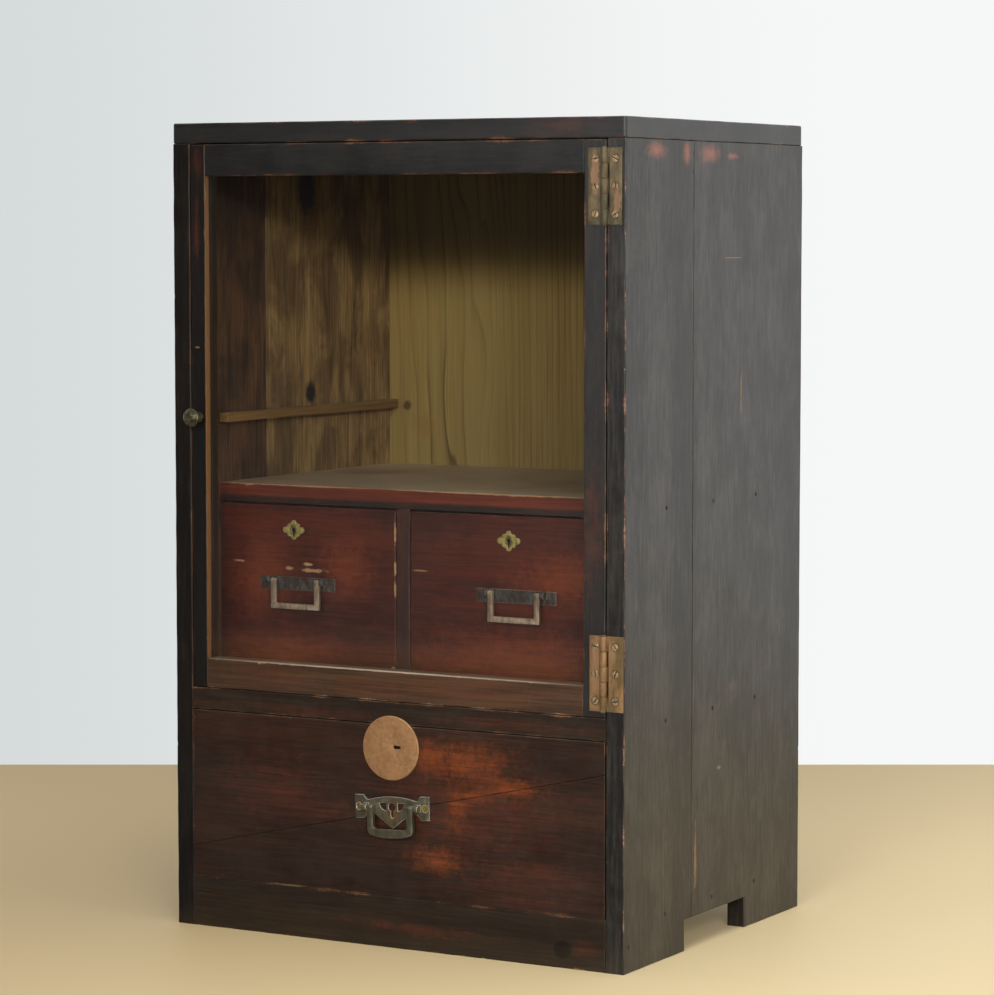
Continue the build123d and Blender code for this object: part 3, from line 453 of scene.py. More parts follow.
redLook = dict(caseLook, slot="red_brown_wood", stain=tone(56, 15, 4), ground=tone(100, 34, 12),
    line=tone(32, 10, 5), red=tone(114, 42, 18), bare=tone(172, 134, 98), flecks=0.03, grain=alongX, rough=0.3,
    wear=0.0004, rings=0.3, weather=0.16, veilTone=tone(126, 54, 22), scuffs=0.9, bareShare=0.15, redShare=0.15,
    dust=0.1, gloss=0.6, glow=tone(130, 62, 32), glowRim=tone(98, 36, 15))
addFinish(stainedWood, "shelfWood", redLook, dust=1.0, dustTone=tone(196, 178, 146), wear=0.0013, bareShare=0.9,
    stain=tone(92, 36, 22), ground=tone(136, 60, 34), line=tone(26, 19, 13),
    # painted shade: the lower part of the shelf's front edge is dark, next to the gap above the drawers
    stainSpots=[(0, -97, 301, 900, 9, 9.5, 0.2)], stainShare=0.95, stainInner=0.75,
    bareSpots=[(60, -97, 318.4, 110, 1.6, 1.3, 1.2), (-90, -97, 318.4, 60, 1.6, 1.2, 1.2)])
addFinish(stainedWood, "dividerWood", redLook, grain=alongZ, stain=tone(46, 24, 18), ground=tone(66, 34, 25),
    wear=0.0004, redShare=0.1, bareShare=0.15)
addFinish(stainedWood, "smallFrontWood", redLook, glowSpots=[(-130, -97, 250, 40, 4, 44, 1.2),
    (-60, -97, 262, 30, 4, 30, 1.6), (120, -97, 262, 60, 4, 26, 1.6), (-110, -97, 196, 60, 4, 26, 1.4),
    # painted shade: the small fronts are darker at the top middle, under the shelf
    (80, -97, 202, 110, 4, 34, 1.4)], stainSpots=[(0, -97, 304, 60, 4, 30, 1.6)], stainShare=0.6,
    bareSpots=[(-108, -97, 258.5, 4, 3, 1.4, 1.8), (-88, -97, 257.5, 13, 3, 1.6, 2.4),
    (-93, -97, 262, 5, 3, 1.2, 2.4), (1, -97, 262, 7, 3, 0.7, 0.7), (-19.5, -97, 286, 0.8, 3, 9, 3.6),
    (-19.5, -97, 262, 0.8, 3, 5, 3.4), (-19.5, -97, 246, 0.8, 3, 6, 3.6), (-21, -97, 192, 2.4, 3, 1, 2.0),
    # painted shade: the dark spots at the keyholes are black where the wood shows through them
    (-79, -97, 248, 3, 3, 1.2, 2.2), (-150, -97, 262, 6, 3, 1.0, 3.0)], darkSpots=[(-104, -97, 286.1, 5, 3, 5, 0.1),
    (72.9, -97, 286.1, 5, 3, 5, 0.1)])
addFinish(stainedWood, "lowerFrontWood", caseLook, slot="lower_front_wood", stain=tone(43, 26, 18),
    ground=tone(70, 40, 25), grain=alongX, flecks=0.04, rings=0.1, glow=tone(144, 70, 32), glowRim=tone(74, 40, 23),
    scuffs=0.35, gloss=0.5, weather=0.12, glowSpots=[(62, -134.1, 134, 52, 5, 25, 1.5),
    (32, -134.1, 136, 26, 5, 20, 1.3), (52, -134.1, 104, 17, 5, 26, 1.5), (36, -134.1, 65, 32, 5, 15, 1.5),
    (90, -134.1, 120, 44, 5, 13, 1.9), (64, -134.1, 112, 26, 5, 9, 1.8)],
    redSpots=[(-100, -134.1, 106, 60, 5, 34, 2.0), (-70, -134.1, 92, 50, 5, 16, 2.2),
    (60, -134.1, 100, 110, 5, 50, 1.8), (110, -134.1, 56, 60, 5, 22, 1.8)],
    # painted shade: the dark spot is black where the wood shows through the disc's keyhole
    bareSpots=[(-84, -134.1, 36.8, 22, 2, 0.4, 2.4)], darkSpots=[(3.3, -134.1, 141.9, 5, 4, 6, 0.1)],
    scratchWay=(1.0, 1.0, 0.35))

bareLook = dict(plainLook, slot="bare_wood", stain=tone(150, 118, 78), ground=tone(170, 138, 96),
    line=tone(120, 86, 52), red=tone(140, 96, 58), bare=tone(190, 162, 122), streaks=0.7, flecks=0.05, wear=0.0006,
    rough=0.6, grain=alongY, rings=0.5, dust=0.3, gloss=0.3)
addFinish(stainedWood, "drawerSoftwood", bareLook)
addFinish(stainedWood, "drawerBackWood", bareLook, grain=alongX)
addFinish(stainedWood, "bottomWood", bareLook, grain=alongX, stain=tone(110, 84, 56))
pineLook = dict(bareLook, slot="back_pine", stain=tone(152, 126, 72), ground=tone(172, 146, 90),
    line=tone(74, 54, 30), grain=alongZ, rings=0.75, spacing=0.006, bump=0.3, dust=0.1, streaks=0.6,
    bare=tone(150, 126, 84), scratches=0.0, scuffs=0.1, weather=0.0, shade=(0.452, 0.5, 0.3))
addFinish(stainedWood, "backLeft", pineLook, pith=(-0.115, 0.124, 0.25), lean=0.075, warp=0.05, spacing=0.0085,
    rings=0.9, palest=tone(166, 140, 86), paleSpots=[(-88, 139.3, 400, 30, 30, 180, 0.4)], red=tone(156, 104, 54),
    redSpots=[(-138, 139.3, 349, 16, 2.5, 14, 1.4)], stainSpots=[(-152.4, 139.3, 363.7, 4.5, 2.5, 5, 0.8)])
addFinish(stainedWood, "backMiddle", pineLook, pith=(-0.25, 0.1, 0.0), lean=0.006, warp=0.008, spacing=0.0052,
    rings=0.6)
addFinish(stainedWood, "backRight", pineLook, pith=(0.3, 0.14, 0.1), lean=-0.01, warp=0.006, spacing=0.0052,
    rings=1.0)
addFinish(stainedWood, "cleatWood", pineLook, grain=alongY, wear=0.0012, dust=0.3, stain=tone(128, 96, 54),
    ground=tone(160, 124, 74))

print("stage: metal and glass")


def oldMetal(name, look):
    # bright metal under tarnish: colour, roughness and metallic all follow the tarnish mask, pits sink in the bump
    material, tree, shader = startMaterial(name, look["clean"])
    place = ownPlace(tree)
    age = useGroup(tree, patina, {"Place": vect(tree, "MULTIPLY", place, look["mottleWay"]), "Scale": look["scale"],
                                  "Amount": look["tarnished"]})
    speck = ranged(tree, age["Speck"], 0.36, 0.66)
    colour = mixed(tree, speck, look["clean"], look["second"])
    colour = mixed(tree, age["Tarnish"], colour, look["tarnish"])
    colour = mixed(tree, times(tree, age["Pits"], look["pitted"]), colour, look["pit"])
    # dirt spots and painted shade, in the hinge crevices and on the disc's keyhole walls, darken to the dark tone
    # of the pits; warm spots turn to the warm tone
    for spots, shade in (("grime", "pit"), ("warmth", "warm")):
        colour = spotted(tree, place, colour, look[spots], look[shade], 0.75, look["grimeInner"])
    if "sunk" in look:  # what lies behind this plane is in shade: slots and edges
        depth = parts(tree, place)[1]
        colour = mixed(tree, calc(tree, "GREATER_THAN", depth, look["sunk"] * mm), colour, look["pit"])
    scratch = useGroup(tree, hairlines, {"Place": drawn(tree, place, 1.0, 1.0, 0.35), "Scale": 120.0,
                                         "Width": 0.004})["Mask"]
    colour = mixed(tree, times(tree, scratch, look["scratches"]), colour, look["bright"])
    tree.links.new(colour, shader.inputs["Base Color"])
    metal, rough = look["metal"], look["rough"]
    tree.links.new(ranged(tree, age["Tarnish"], 0.0, 1.0, metal, metal * 0.55), shader.inputs["Metallic"])
    dull = timesPlus(tree, age["Tarnish"], 0.6, speck)
    tree.links.new(ranged(tree, dull, 0.0, 1.6, rough, rough + 0.25), shader.inputs["Roughness"])
    height = minus(tree, times(tree, age["Speck"], 0.5), times(tree, age["Pits"], 0.5))
    bump = put(tree, "ShaderNodeBump", {"Strength": look["bump"], "Distance": 0.0002, "Height": height})
    tree.links.new(bump.outputs[0], shader.inputs["Normal"])
    return material


# each hinge's foot, and how far right its screws are, on the door and on the case
hinges, pinX, leafY = ((504.1, 159.55, 174.55), (178.1, 160.45, 175.45)), 167.2, -134.9
# painted shade in the hinges' crevices: dark rings round the screws, lines beside the barrel and lines across the
# knuckle gaps
hingeGrime = []
for low, doorX, caseX in hinges:
    hingeGrime += [(x, leafY, low + z, 3.3, 4, 3.3, 0.3) for z in (7.1, 25.5, 43.9) for x in (doorX, caseX)]
    hingeGrime += [(x, leafY, low + 25.5, 0.75, 1.2, 25.2, 0.1) for x in (pinX - 2.9, pinX + 2.9)]
    hingeGrime += [(pinX, -136, low + knuckle * 10.2, 3.2, 3.4, 0.42, 0.0) for knuckle in (1, 2, 3, 4)]
hingeLook = {
    "slot": "hinge_brass", "clean": tone(134, 120, 95), "second": tone(112, 100, 79), "tarnish": tone(84, 80, 62),
    "pit": tone(40, 32, 24), "bright": tone(180, 164, 138), "scale": 70.0, "tarnished": 0.5, "metal": 0.35,
    "rough": 0.5, "bump": 0.2, "mottleWay": (1.0, 1.0, 0.4), "pitted": 0.2, "scratches": 0.3,
    "warm": tone(170, 132, 106), "grimeInner": 0.75, "grime": [], "warmth": []}
addFinish(oldMetal, "upperHinge", hingeLook, grime=hingeGrime, warmth=[(159.5, -134.9, 538, 3.2, 4, 18, 1.6),
    (176, -134.9, 520, 2.4, 4, 10, 1.8)])
addFinish(oldMetal, "lowerHinge", hingeLook, clean=tone(172, 136, 98), second=tone(150, 118, 84),
    tarnish=tone(116, 96, 66), grime=hingeGrime, warmth=[(160.5, -134.9, 210, 3.2, 4, 20, 1.6)])
addFinish(oldMetal, "hingeEdge", hingeLook, clean=tone(172, 150, 118), tarnished=0.3)
addFinish(oldMetal, "screwSteel", hingeLook, slot="dark_steel", clean=tone(214, 188, 150),
    second=tone(156, 128, 94), tarnish=tone(92, 72, 50), tarnished=0.4, metal=0.5, rough=0.32, sunk=-134.7,
    scale=260.0)
addFinish(oldMetal, "knobBrass", hingeLook, slot="aged_brass", clean=tone(146, 138, 104), second=tone(108, 102, 74),
    tarnish=tone(58, 54, 38), scale=190.0, rough=0.28, tarnished=0.55, metal=0.8, pitted=0.4,
    mottleWay=(1.0, 1.0, 1.0))
addFinish(oldMetal, "keyholeBrass", hingeLook, slot="aged_brass", clean=tone(202, 188, 116),
    second=tone(164, 148, 84), tarnish=tone(96, 82, 44), scale=420.0, rough=0.36, tarnished=0.35,
    mottleWay=(1.0, 1.0, 1.0), metal=0.55, pit=tone(60, 48, 26), grimeInner=0.5,
    grime=[(-104, -98, 286.1, 3.6, 4, 4.6, 0.6), (72.9, -98, 286.1, 3.6, 4, 4.6, 0.6)])
# painted highlight on worn edges: the plates' rounded edges are paler and barely metallic
addFinish(oldMetal, "keyholeEdge", hingeLook, clean=tone(240, 228, 184), second=tone(206, 188, 130),
    tarnish=tone(84, 70, 38), scale=420.0, rough=0.3, tarnished=0.45, mottleWay=(1.0, 1.0, 1.0), metal=0.2)
addFinish(oldMetal, "pullPlateBlue", hingeLook, slot="blued_steel", clean=tone(92, 92, 88), second=tone(66, 62, 58),
    tarnish=tone(56, 40, 34), pit=tone(128, 84, 58), scale=150.0, tarnished=0.5, rough=0.4,
    bright=tone(140, 140, 140), pitted=0.5)
addFinish(oldMetal, "smallBail", hingeLook, slot="bare_steel", clean=tone(186, 164, 144),
    second=tone(158, 134, 114), tarnish=tone(118, 90, 74), scale=130.0, tarnished=0.3, metal=0.5, rough=0.42)
addFinish(oldMetal, "lowerPull", hingeLook, slot="green_bronze", clean=tone(150, 144, 122),
    second=tone(122, 116, 96), tarnish=tone(84, 78, 60), pit=tone(40, 34, 26), scale=90.0, tarnished=0.4, metal=0.8,
    rough=0.3, bright=tone(200, 196, 176), bump=0.15, pitted=0.15, warm=tone(150, 112, 70),
    warmth=[(1, -134, 97, 8, 6, 12, 1.0)], grimeInner=0.2)
# painted highlight on worn edges: the pull's rounded edges are near white and barely metallic
addFinish(oldMetal, "lowerPullEdge", hingeLook, clean=tone(250, 246, 228), second=tone(232, 226, 204),
    tarnish=tone(150, 142, 120), scale=120.0, tarnished=0.15, metal=0.2, rough=0.3, bump=0.1)
addFinish(oldMetal, "discCopper", hingeLook, slot="pale_copper", clean=tone(190, 146, 104),
    second=tone(178, 134, 94), tarnish=tone(160, 118, 82), pit=tone(98, 66, 44), scale=110.0, tarnished=0.4,
    metal=0.35, rough=0.5, bright=tone(222, 184, 138), scratches=0.5, bump=0.12, mottleWay=(1.0, 1.0, 1.0),
    # painted shade on the walls of the disc's keyhole
    grime=[(5, -134.5, 141.9, 5, 0.8, 3, 0.0)])
addFinish(oldMetal, "discEdge", hingeLook, clean=tone(206, 168, 122), second=tone(180, 140, 98),
    tarnish=tone(140, 106, 72), tarnished=0.2, metal=0.7)
addFinish(oldMetal, "darkSteel", hingeLook, clean=tone(62, 58, 54), second=tone(44, 40, 38),
    tarnish=tone(34, 28, 24), tarnished=0.6, metal=0.6, rough=0.5)
addFinish(oldMetal, "brightScrew", hingeLook, slot="green_bronze", clean=tone(190, 160, 96),
    second=tone(160, 130, 74), tarnish=tone(110, 88, 52), tarnished=0.3, metal=0.9)


def windowGlass():
    # clear pane that lets light through for shadow rays, under a thin hazy veil that a slow cloud varies and that
    # thickens towards the bottom; its lowest strip is a painted reflection of the warm floor
    material, tree, shader = startMaterial("windowGlass", (0.9, 0.94, 0.92, 1.0))
    place = ownPlace(tree)
    shader.inputs["Base Color"].default_value = (0.97, 0.985, 0.975, 1.0)
    shader.inputs["Transmission Weight"].default_value = 1.0
    shader.inputs["IOR"].default_value = 1.45
    shader.inputs["Roughness"].default_value = 0.0
    low = parts(tree, place)[2]
    foot = ranged(tree, low, 0.224, 0.202)  # the lowest strip holds a painted reflection of the warm floor
    bloom = mixed(tree, foot, tone(176, 174, 166), tone(206, 154, 108))
    haze = put(tree, "ShaderNodeBsdfDiffuse", {"Color": bloom})
    film = timesPlus(tree, foot, 0.024, ranged(tree, low, 0.42, 0.18, 0.0003, 0.0025))
    wiped = cloud(tree, drawn(tree, place, 1.0, 1.0, 0.5), 26.0, 5.0, 0.62, 0.6)
    share = calc(tree, "ADD", film, ranged(tree, wiped, 0.52, 0.8, 0.0, 0.006))
    hazed = put(tree, "ShaderNodeMixShader", {0: share, 1: shader.outputs[0], 2: haze.outputs[0]})
    clear = put(tree, "ShaderNodeBsdfTransparent", {"Color": (0.93, 0.95, 0.94, 1.0)})
    path = put(tree, "ShaderNodeLightPath").outputs
    final = put(tree, "ShaderNodeMixShader", {0: greatest(tree, path["Is Shadow Ray"], path["Is Diffuse Ray"]),
                                              1: hazed.outputs[0], 2: clear.outputs[0]})
    tree.links.new(final.outputs[0], tree.nodes["Material Output"].inputs["Surface"])
    return material


finishes["glass"] = windowGlass()


def roundedOutline(corners, radius, step):
    # A closed outline: each corner is centre - side * radius * (cos a, sin a), with a turned from one run's inward
    # normal to the next's, and each run is start + (end - start) * t with t in equal steps. Gives points, inward
    # normals and spare, the most that each point may move in: 0.75 of a corner's radius, or of the way along the
    # run to its nearer end plus the smallest radius, so that the moved outline can't cross itself.
    corners = np.asarray(corners, float)
    count = len(corners)
    radii = np.broadcast_to(np.asarray(radius, float), (count,))
    ways = np.roll(corners, -1, axis=0) - corners
    ways /= np.linalg.norm(ways, axis=1)[:, None]
    points, normals, spare, ends = [], [], [], []
    for i in range(count):
        enter, leave = ways[i - 1], ways[i]
        turn = math.atan2(enter[0] * leave[1] - enter[1] * leave[0], float(enter @ leave))
        side, back = math.copysign(1.0, turn), radii[i] * abs(math.tan(turn / 2))
        first = math.atan2(enter[0], -enter[1])
        angles = first + turn * np.linspace(0.0, 1.0, 6)
        inward = np.stack([np.cos(angles), np.sin(angles)], axis=1)
        centre = corners[i] - enter * back + side * radii[i] * inward[0]
        ends.append((centre - side * radii[i] * inward, inward, 0.75 * radii[i] if turn > 0 else 1.0))
    for i in range(count):
        arc, inward, room = ends[i]
        points.append(arc)
        normals.append(inward)
        spare.append(np.full(len(arc), room))
        start, stop = arc[-1], ends[(i + 1) % count][0][0]
        length = float(np.linalg.norm(stop - start))
        t = np.linspace(0.0, 1.0, max(1, round(length / step)) + 1)[1:-1, None]
        points.append(start + (stop - start) * t)
        normals.append(np.repeat(inward[-1:], len(t), axis=0))
        spare.append(0.75 * (length * np.minimum(t, 1.0 - t)[:, 0] + radii.min()))
    return np.concatenate(points), np.concatenate(normals), np.concatenate(spare)


def wornRadius(count, step, radius, chips, deepest, rng):
    # the arris radius along the outline: radius * (0.85 + a sum of sines), held to 0.45 and 1.5 of the radius, or
    # where it is more, a chip's bump deepest * u ** 2 * exp(-(s / w) ** 2), s being the way along to its middle
    s = np.arange(count) * step
    length = count * step
    waves = sum(rng.uniform(0.03, 0.12) * np.sin(2 * np.pi * k * s / length + rng.uniform(0, 6.3))
                for k in rng.integers(3, 60, 12))
    worn = radius * np.clip(0.85 + waves, 0.45, 1.5)
    centres, widths = rng.uniform(0, length, chips), rng.uniform(0.6, 2.6, chips) * mm
    depths = deepest * rng.uniform(0.25, 1.0, chips) ** 2
    apart = np.abs(s[:, None] - centres)
    apart = np.minimum(apart, length - apart)
    chipped = (depths * np.exp(-(apart / widths) ** 2)).max(axis=1)
    return np.maximum(worn, chipped), np.clip(chipped / (radius + 1e-9) - 1.0, 0.0, 1.0)


def newObject(name, data):
    made = bpy.data.objects.new(name, data)
    bpy.context.scene.collection.objects.link(made)
    return made


def newPiece(node, ending, mesh, names):
    # a visible piece that stands for one CAD node: it rides the node's body and takes the finishes as its materials
    piece = newObject(node + ending, mesh)
    for name in names:
        mesh.materials.append(finishes[name])
    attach(piece, bodyOf[node])
    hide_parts(node)
    return piece


def markArrises(mesh, spots, joined):
    # each point's distances to the box's low and high faces; a joined end shows no wear, so its distance is long
    fromLow, toHigh = spots - spots.min(axis=0), spots.max(axis=0) - spots
    for end in joined:
        target = fromLow if end[1] == "-" else toHigh
        target[:, "xyz".index(end[0])] += 1.0
    for label, values in (("fromLow", fromLow), ("toHigh", toHigh)):
        mesh.attributes.new(label, "FLOAT_VECTOR", "POINT").data.foreach_set("vector", values.astype("f").ravel())


shrink = 0.06 * mm  # the worn faces lie this far inside the CAD faces, so nail heads stand just proud
halfway = 0.293  # 1 - cos 45 degrees, the middle ring of an arris


def wornBoard(node, board):
    # The outline lies in the two other axes, and six rings climb the thickness: each arris is a quarter round
    # whose inset is r (1 - cos a) and whose height is r (1 - sin a), for a of 90, 45 and 0 degrees. r comes from
    # wornRadius, held to 0.4 of the thickness and to what the outline can spare.
    axis = board["axis"]
    low, high = (v * mm for v in board["span"])
    low, high = low + shrink, high - shrink
    step = board.get("step", 2.5) * mm
    rng = np.random.default_rng(board["seed"])
    corners = np.array(board["corners"], float) * mm
    points, inward, spare = roundedOutline(corners, np.array(board["corner"]) * mm, step)
    count = len(points)
    none = np.zeros(count)
    rings, chipped = [], []
    for face, up in ((low, 1.0), (high, -1.0)):
        deep = board.get("deep", 1.6) * mm
        r, chip = wornRadius(count, step, board["round"] * mm, board["chips"], deep, rng)
        r = np.minimum(np.minimum(r, (high - low) * 0.4), spare)
        stack = [(r, none, none), (r * halfway, r * halfway, chip), (none, r, none)]
        for inset, climb, mark in stack if up > 0 else stack[::-1]:
            rings.append((points + inward * inset[:, None], face + up * climb))
            chipped.append(mark)
    flat = np.concatenate([ring for ring, _ in rings])
    spots = np.empty((len(flat), 3))
    others = [k for k in range(3) if k != axis]
    spots[:, others[0]], spots[:, others[1]] = flat[:, 0], flat[:, 1]
    spots[:, axis] = np.concatenate([height for _, height in rings])
    j, ring = np.arange(count), np.arange(5)[:, None] * count
    after = (j + 1) % count
    quads = np.stack([ring + j, ring + after, ring + count + after, ring + count + j], 2).reshape(-1, 4)
    faces = quads.tolist() + [j[::-1].tolist(), (j + 5 * count).tolist()]
    if axis == 1:  # x cross z points along -Y, so the winding is turned round
        faces = [face[::-1] for face in faces]
    mesh = bpy.data.meshes.new(node + "_worn")
    mesh.from_pydata(spots.tolist(), [], faces)
    smooth = np.ones(len(faces), bool)
    smooth[2 * count:3 * count] = False
    smooth[-2:] = False
    mesh.polygons.foreach_set("use_smooth", smooth)
    markArrises(mesh, spots, board.get("joined", ()))
    mesh.attributes.new("chip", "FLOAT", "POINT").data.foreach_set("value", np.concatenate(chipped).astype("f"))
    mesh.validate()
    return newPiece(node, "_worn", mesh, [board["finish"]])


def cutSlot(board, bolt):
    # the lock bolt's box, wider by a little and longer at the top, is taken out of the board it rises through
    spots = np.array([tuple(vertex.co) for vertex in frame["nodes"][bolt].data.vertices])
    low, high = spots.min(axis=0) - 0.3 * mm, spots.max(axis=0) + np.array([0.3, 0.3, 3.0]) * mm
    corners = [[(low, high)[(i >> k) & 1][k] for k in range(3)] for i in range(8)]
    box = bpy.data.meshes.new("slotBox")
    sides = [(0, 2, 3, 1), (4, 5, 7, 6), (0, 1, 5, 4), (2, 6, 7, 3), (0, 4, 6, 2), (1, 3, 7, 5)]
    box.from_pydata(corners, [], sides)
    cutter = newObject("slotBox", box)
    cut = board.modifiers.new("slot", "BOOLEAN")
    cut.operation, cut.solver, cut.object = "DIFFERENCE", "EXACT", cutter
    shaped = bpy.data.meshes.new_from_object(board.evaluated_get(bpy.context.evaluated_depsgraph_get()))
    board.modifiers.remove(cut)
    board.data = shaped
    bpy.data.objects.remove(cutter)


def rectangle(x0, x1, y0, y1):
    return [(x0, y0), (x1, y0), (x1, y1), (x0, y1)]


print("stage: worn boards")
boards = {
    "top_board": {
        "axis": 2, "span": (561.5, 576.0), "corners": rectangle(-182, 182, -133.7, 146.3), "round": 1.1,
        "corner": (1.6, 2.0, 6.0, 4.0), "chips": 26, "deep": 2.4, "seed": 3, "finish": "topWood"}}
for side, span, seam, finish, seed in (
        ("left", (-182, -168), -35.2, "left", 11), ("right", (168, 182), -32.7, "side", 13)):
    shared = {"axis": 0, "span": span, "corner": 0.8, "round": 0.8, "chips": 30}
    boards[side + "_side_front_board"] = {
        **shared, "joined": ("y+", "z+"), "seed": seed, "finish": finish + "Front",
        "corners": [(-133.7, 0), (-42.7, 0), (-42.7, 22), (seam, 22), (seam, 561.5), (-133.7, 561.5)]}
    boards[side + "_side_rear_board"] = {
        **shared, "joined": ("y-", "z+"), "seed": seed + 1, "finish": finish + "Rear",
        "corners": [(seam, 22), (53.3, 22), (53.3, 0), (144.3, 0), (144.3, 561.5), (seam, 561.5)]}
boards["right_side_front_board"].update(chips=44, deep=2.0)
boards["right_side_rear_board"].update(chips=36)
boards["base_rail"] = {
    "axis": 1, "span": (-133.7, -119.7), "corners": rectangle(-168, 168, 0, 36), "corner": 0.4, "round": 0.9,
    "chips": 16, "deep": 2.0, "joined": ("x-", "x+"), "seed": 5, "finish": "caseLevel"}
boards["drawer_divider"] = {
    "axis": 0, "span": (-18.4, -7.4), "corners": rectangle(-97, 139.3, 173.0, 305.0), "corner": 0.5,
    "round": 0.9, "chips": 14, "joined": ("z-", "z+"), "seed": 6, "finish": "dividerWood"}
for index, (side, middle) in enumerate((("left", -116.65), ("middle", 0.0), ("right", 116.65))):
    boards["back_board_" + side] = {
        "axis": 1, "span": (139.3, 144.3), "corners": rectangle(middle - 58.35, middle + 58.35, 22, 561.5),
        "corner": 0.4, "round": 0.45, "chips": 8, "deep": 0.8, "step": 4.0, "seed": 20 + index,
        "finish": "back" + side.capitalize()}
door = {"axis": 1, "span": (-133.7, -117.7)}
smallFront = {"axis": 1, "span": (-97, -85), "corner": 0.8, "round": 0.8, "chips": 14, "finish": "smallFrontWood"}
lowerFront = {"axis": 1, "span": (-134.1, -120.1), "corner": 0.6, "round": 0.65, "finish": "lowerFrontWood"}
boards.update({
    "door_left_stile": {**door, "corners": rectangle(-167, -154.9, 173.6, 560.7), "corner": 0.7, "round": 0.8,
                        "chips": 30, "deep": 1.8, "seed": 31, "finish": "doorLeftUpright"},
    "door_right_stile": {**door, "corners": rectangle(150.7, 167.3, 173.6, 560.7), "corner": 0.7, "round": 0.7,
                         "chips": 26, "seed": 32, "finish": "doorUpright"},
    "door_top_rail": {**door, "corners": rectangle(-154.9, 150.7, 538.5, 560.7), "corner": 0.3, "round": 0.6,
                      "chips": 12, "joined": ("x-", "x+"), "seed": 33, "finish": "doorTop"},
    "door_bottom_rail": {**door, "corners": rectangle(-154.9, 150.7, 173.6, 194.4), "corner": 0.3, "round": 0.7,
                         "chips": 16, "joined": ("x-", "x+"), "seed": 34, "finish": "doorLevel"},
    "left_drawer_front": {**smallFront, "corners": rectangle(-167.4, -19.0, 173.3, 303.5), "seed": 41},
    "right_drawer_front": {**smallFront, "corners": rectangle(-6.8, 167.4, 173.3, 303.5), "seed": 42},
    "lower_drawer_front_lower_board": {
        **lowerFront, "corners": [(-167.4, 36.3), (167.4, 36.3), (167.4, 134.45), (-167.4, 58.15)], "chips": 12,
        "joined": ("z+",), "seed": 43},
    "lower_drawer_front_upper_board": {
        **lowerFront, "corners": [(-167.4, 58.45), (167.4, 134.75), (167.4, 157), (-167.4, 157)], "chips": 16,
        "joined": ("z-",), "seed": 44}})
lockBolts = {"left_drawer_front": "left_lock_bolt", "right_drawer_front": "right_lock_bolt",
             "lower_drawer_front_upper_board": "lower_lock_bolt"}
for node, board in boards.items():
    piece = wornBoard(node, board)
    if node in lockBolts:
        cutSlot(piece, lockBolts[node])


def softened(node, look):
    # the CAD mesh with its doubles merged and flat faces joined, then every edge sharper than 35 degrees is rounded
    shape = bmesh.new()
    shape.from_mesh(frame["nodes"][node].data)
    bmesh.ops.remove_doubles(shape, verts=shape.verts, dist=2e-6)
    bmesh.ops.dissolve_limit(shape, angle_limit=math.radians(1.0), verts=shape.verts, edges=shape.edges)
    mesh = bpy.data.meshes.new(node + "_soft")
    shape.to_mesh(mesh)
    shape.free()
    mesh.polygons.foreach_set("use_smooth", np.full(len(mesh.polygons), not look.get("flat", False)))
    spots = np.empty(len(mesh.vertices) * 3, "f")
    mesh.vertices.foreach_get("co", spots)
    markArrises(mesh, spots.reshape(-1, 3), look.get("joined", ()))
    piece = newPiece(node, "_soft", mesh, [look["finish"]] + ([look["edge"]] if "edge" in look else []))
    bevel = piece.modifiers.new("roundedEdges", "BEVEL")
    bevel.width, bevel.segments = look["round"] * mm, 2
    bevel.limit_method, bevel.angle_limit = "ANGLE", math.radians(35)
    bevel.harden_normals = True
    bevel.use_clamp_overlap = True
    if "edge" in look:
        bevel.material = 1


print("stage: fittings and inner boards")
fittings = {
    "mid_board": {"finish": "caseLevel", "round": 0.7, "flat": True},
    "shelf_board": {"finish": "shelfWood", "round": 0.8, "flat": True, "joined": ("z-",)},
    "shelf_cleats": {"finish": "cleatWood", "round": 0.4, "flat": True},
    "bottom_board": {"finish": "bottomWood", "round": 0.3, "flat": True},
    "upper_hinge_case_leaf": {"finish": "upperHinge", "edge": "hingeEdge", "round": 0.22},
    "lower_hinge_case_leaf": {"finish": "lowerHinge", "edge": "hingeEdge", "round": 0.22},
    "upper_hinge_door_leaf": {"finish": "upperHinge", "edge": "hingeEdge", "round": 0.22},
    "lower_hinge_door_leaf": {"finish": "lowerHinge", "edge": "hingeEdge", "round": 0.22},
    "hinge_pins": {"finish": "upperHinge", "round": 0.15},
    "case_hinge_screws": {"finish": "screwSteel", "round": 0.12},
    "door_hinge_screws": {"finish": "screwSteel", "round": 0.12},
    "door_knob": {"finish": "knobBrass", "round": 0.2},
    "left_keyhole_plate": {"finish": "keyholeBrass", "edge": "keyholeEdge", "round": 0.24},
    "right_keyhole_plate": {"finish": "keyholeBrass", "edge": "keyholeEdge", "round": 0.24},
    "left_pull_plate": {"finish": "pullPlateBlue", "edge": "smallBail", "round": 0.2},
    "right_pull_plate": {"finish": "pullPlateBlue", "edge": "smallBail", "round": 0.2},
    "left_bail": {"finish": "smallBail", "round": 0.3},
    "right_bail": {"finish": "smallBail", "round": 0.3},
    "lower_lock_disc": {"finish": "discCopper", "edge": "discEdge", "round": 0.25},
    "lower_pull_plate": {"finish": "lowerPull", "edge": "lowerPullEdge", "round": 0.5},
    "lower_bail": {"finish": "lowerPull", "edge": "lowerPullEdge", "round": 0.7},
    "lower_pull_screws": {"finish": "brightScrew", "round": 0.15},
}
for drawer in ("left_drawer_", "right_drawer_", "lower_drawer_"):
    for board, finish in (("left_side", "drawerSoftwood"), ("right_side", "drawerSoftwood"),
                          ("back", "drawerBackWood"), ("bottom", "drawerBackWood")):
        fittings[drawer + board] = {"finish": finish, "round": 0.3, "flat": True}
for node, look in fittings.items():
    softened(node, look)

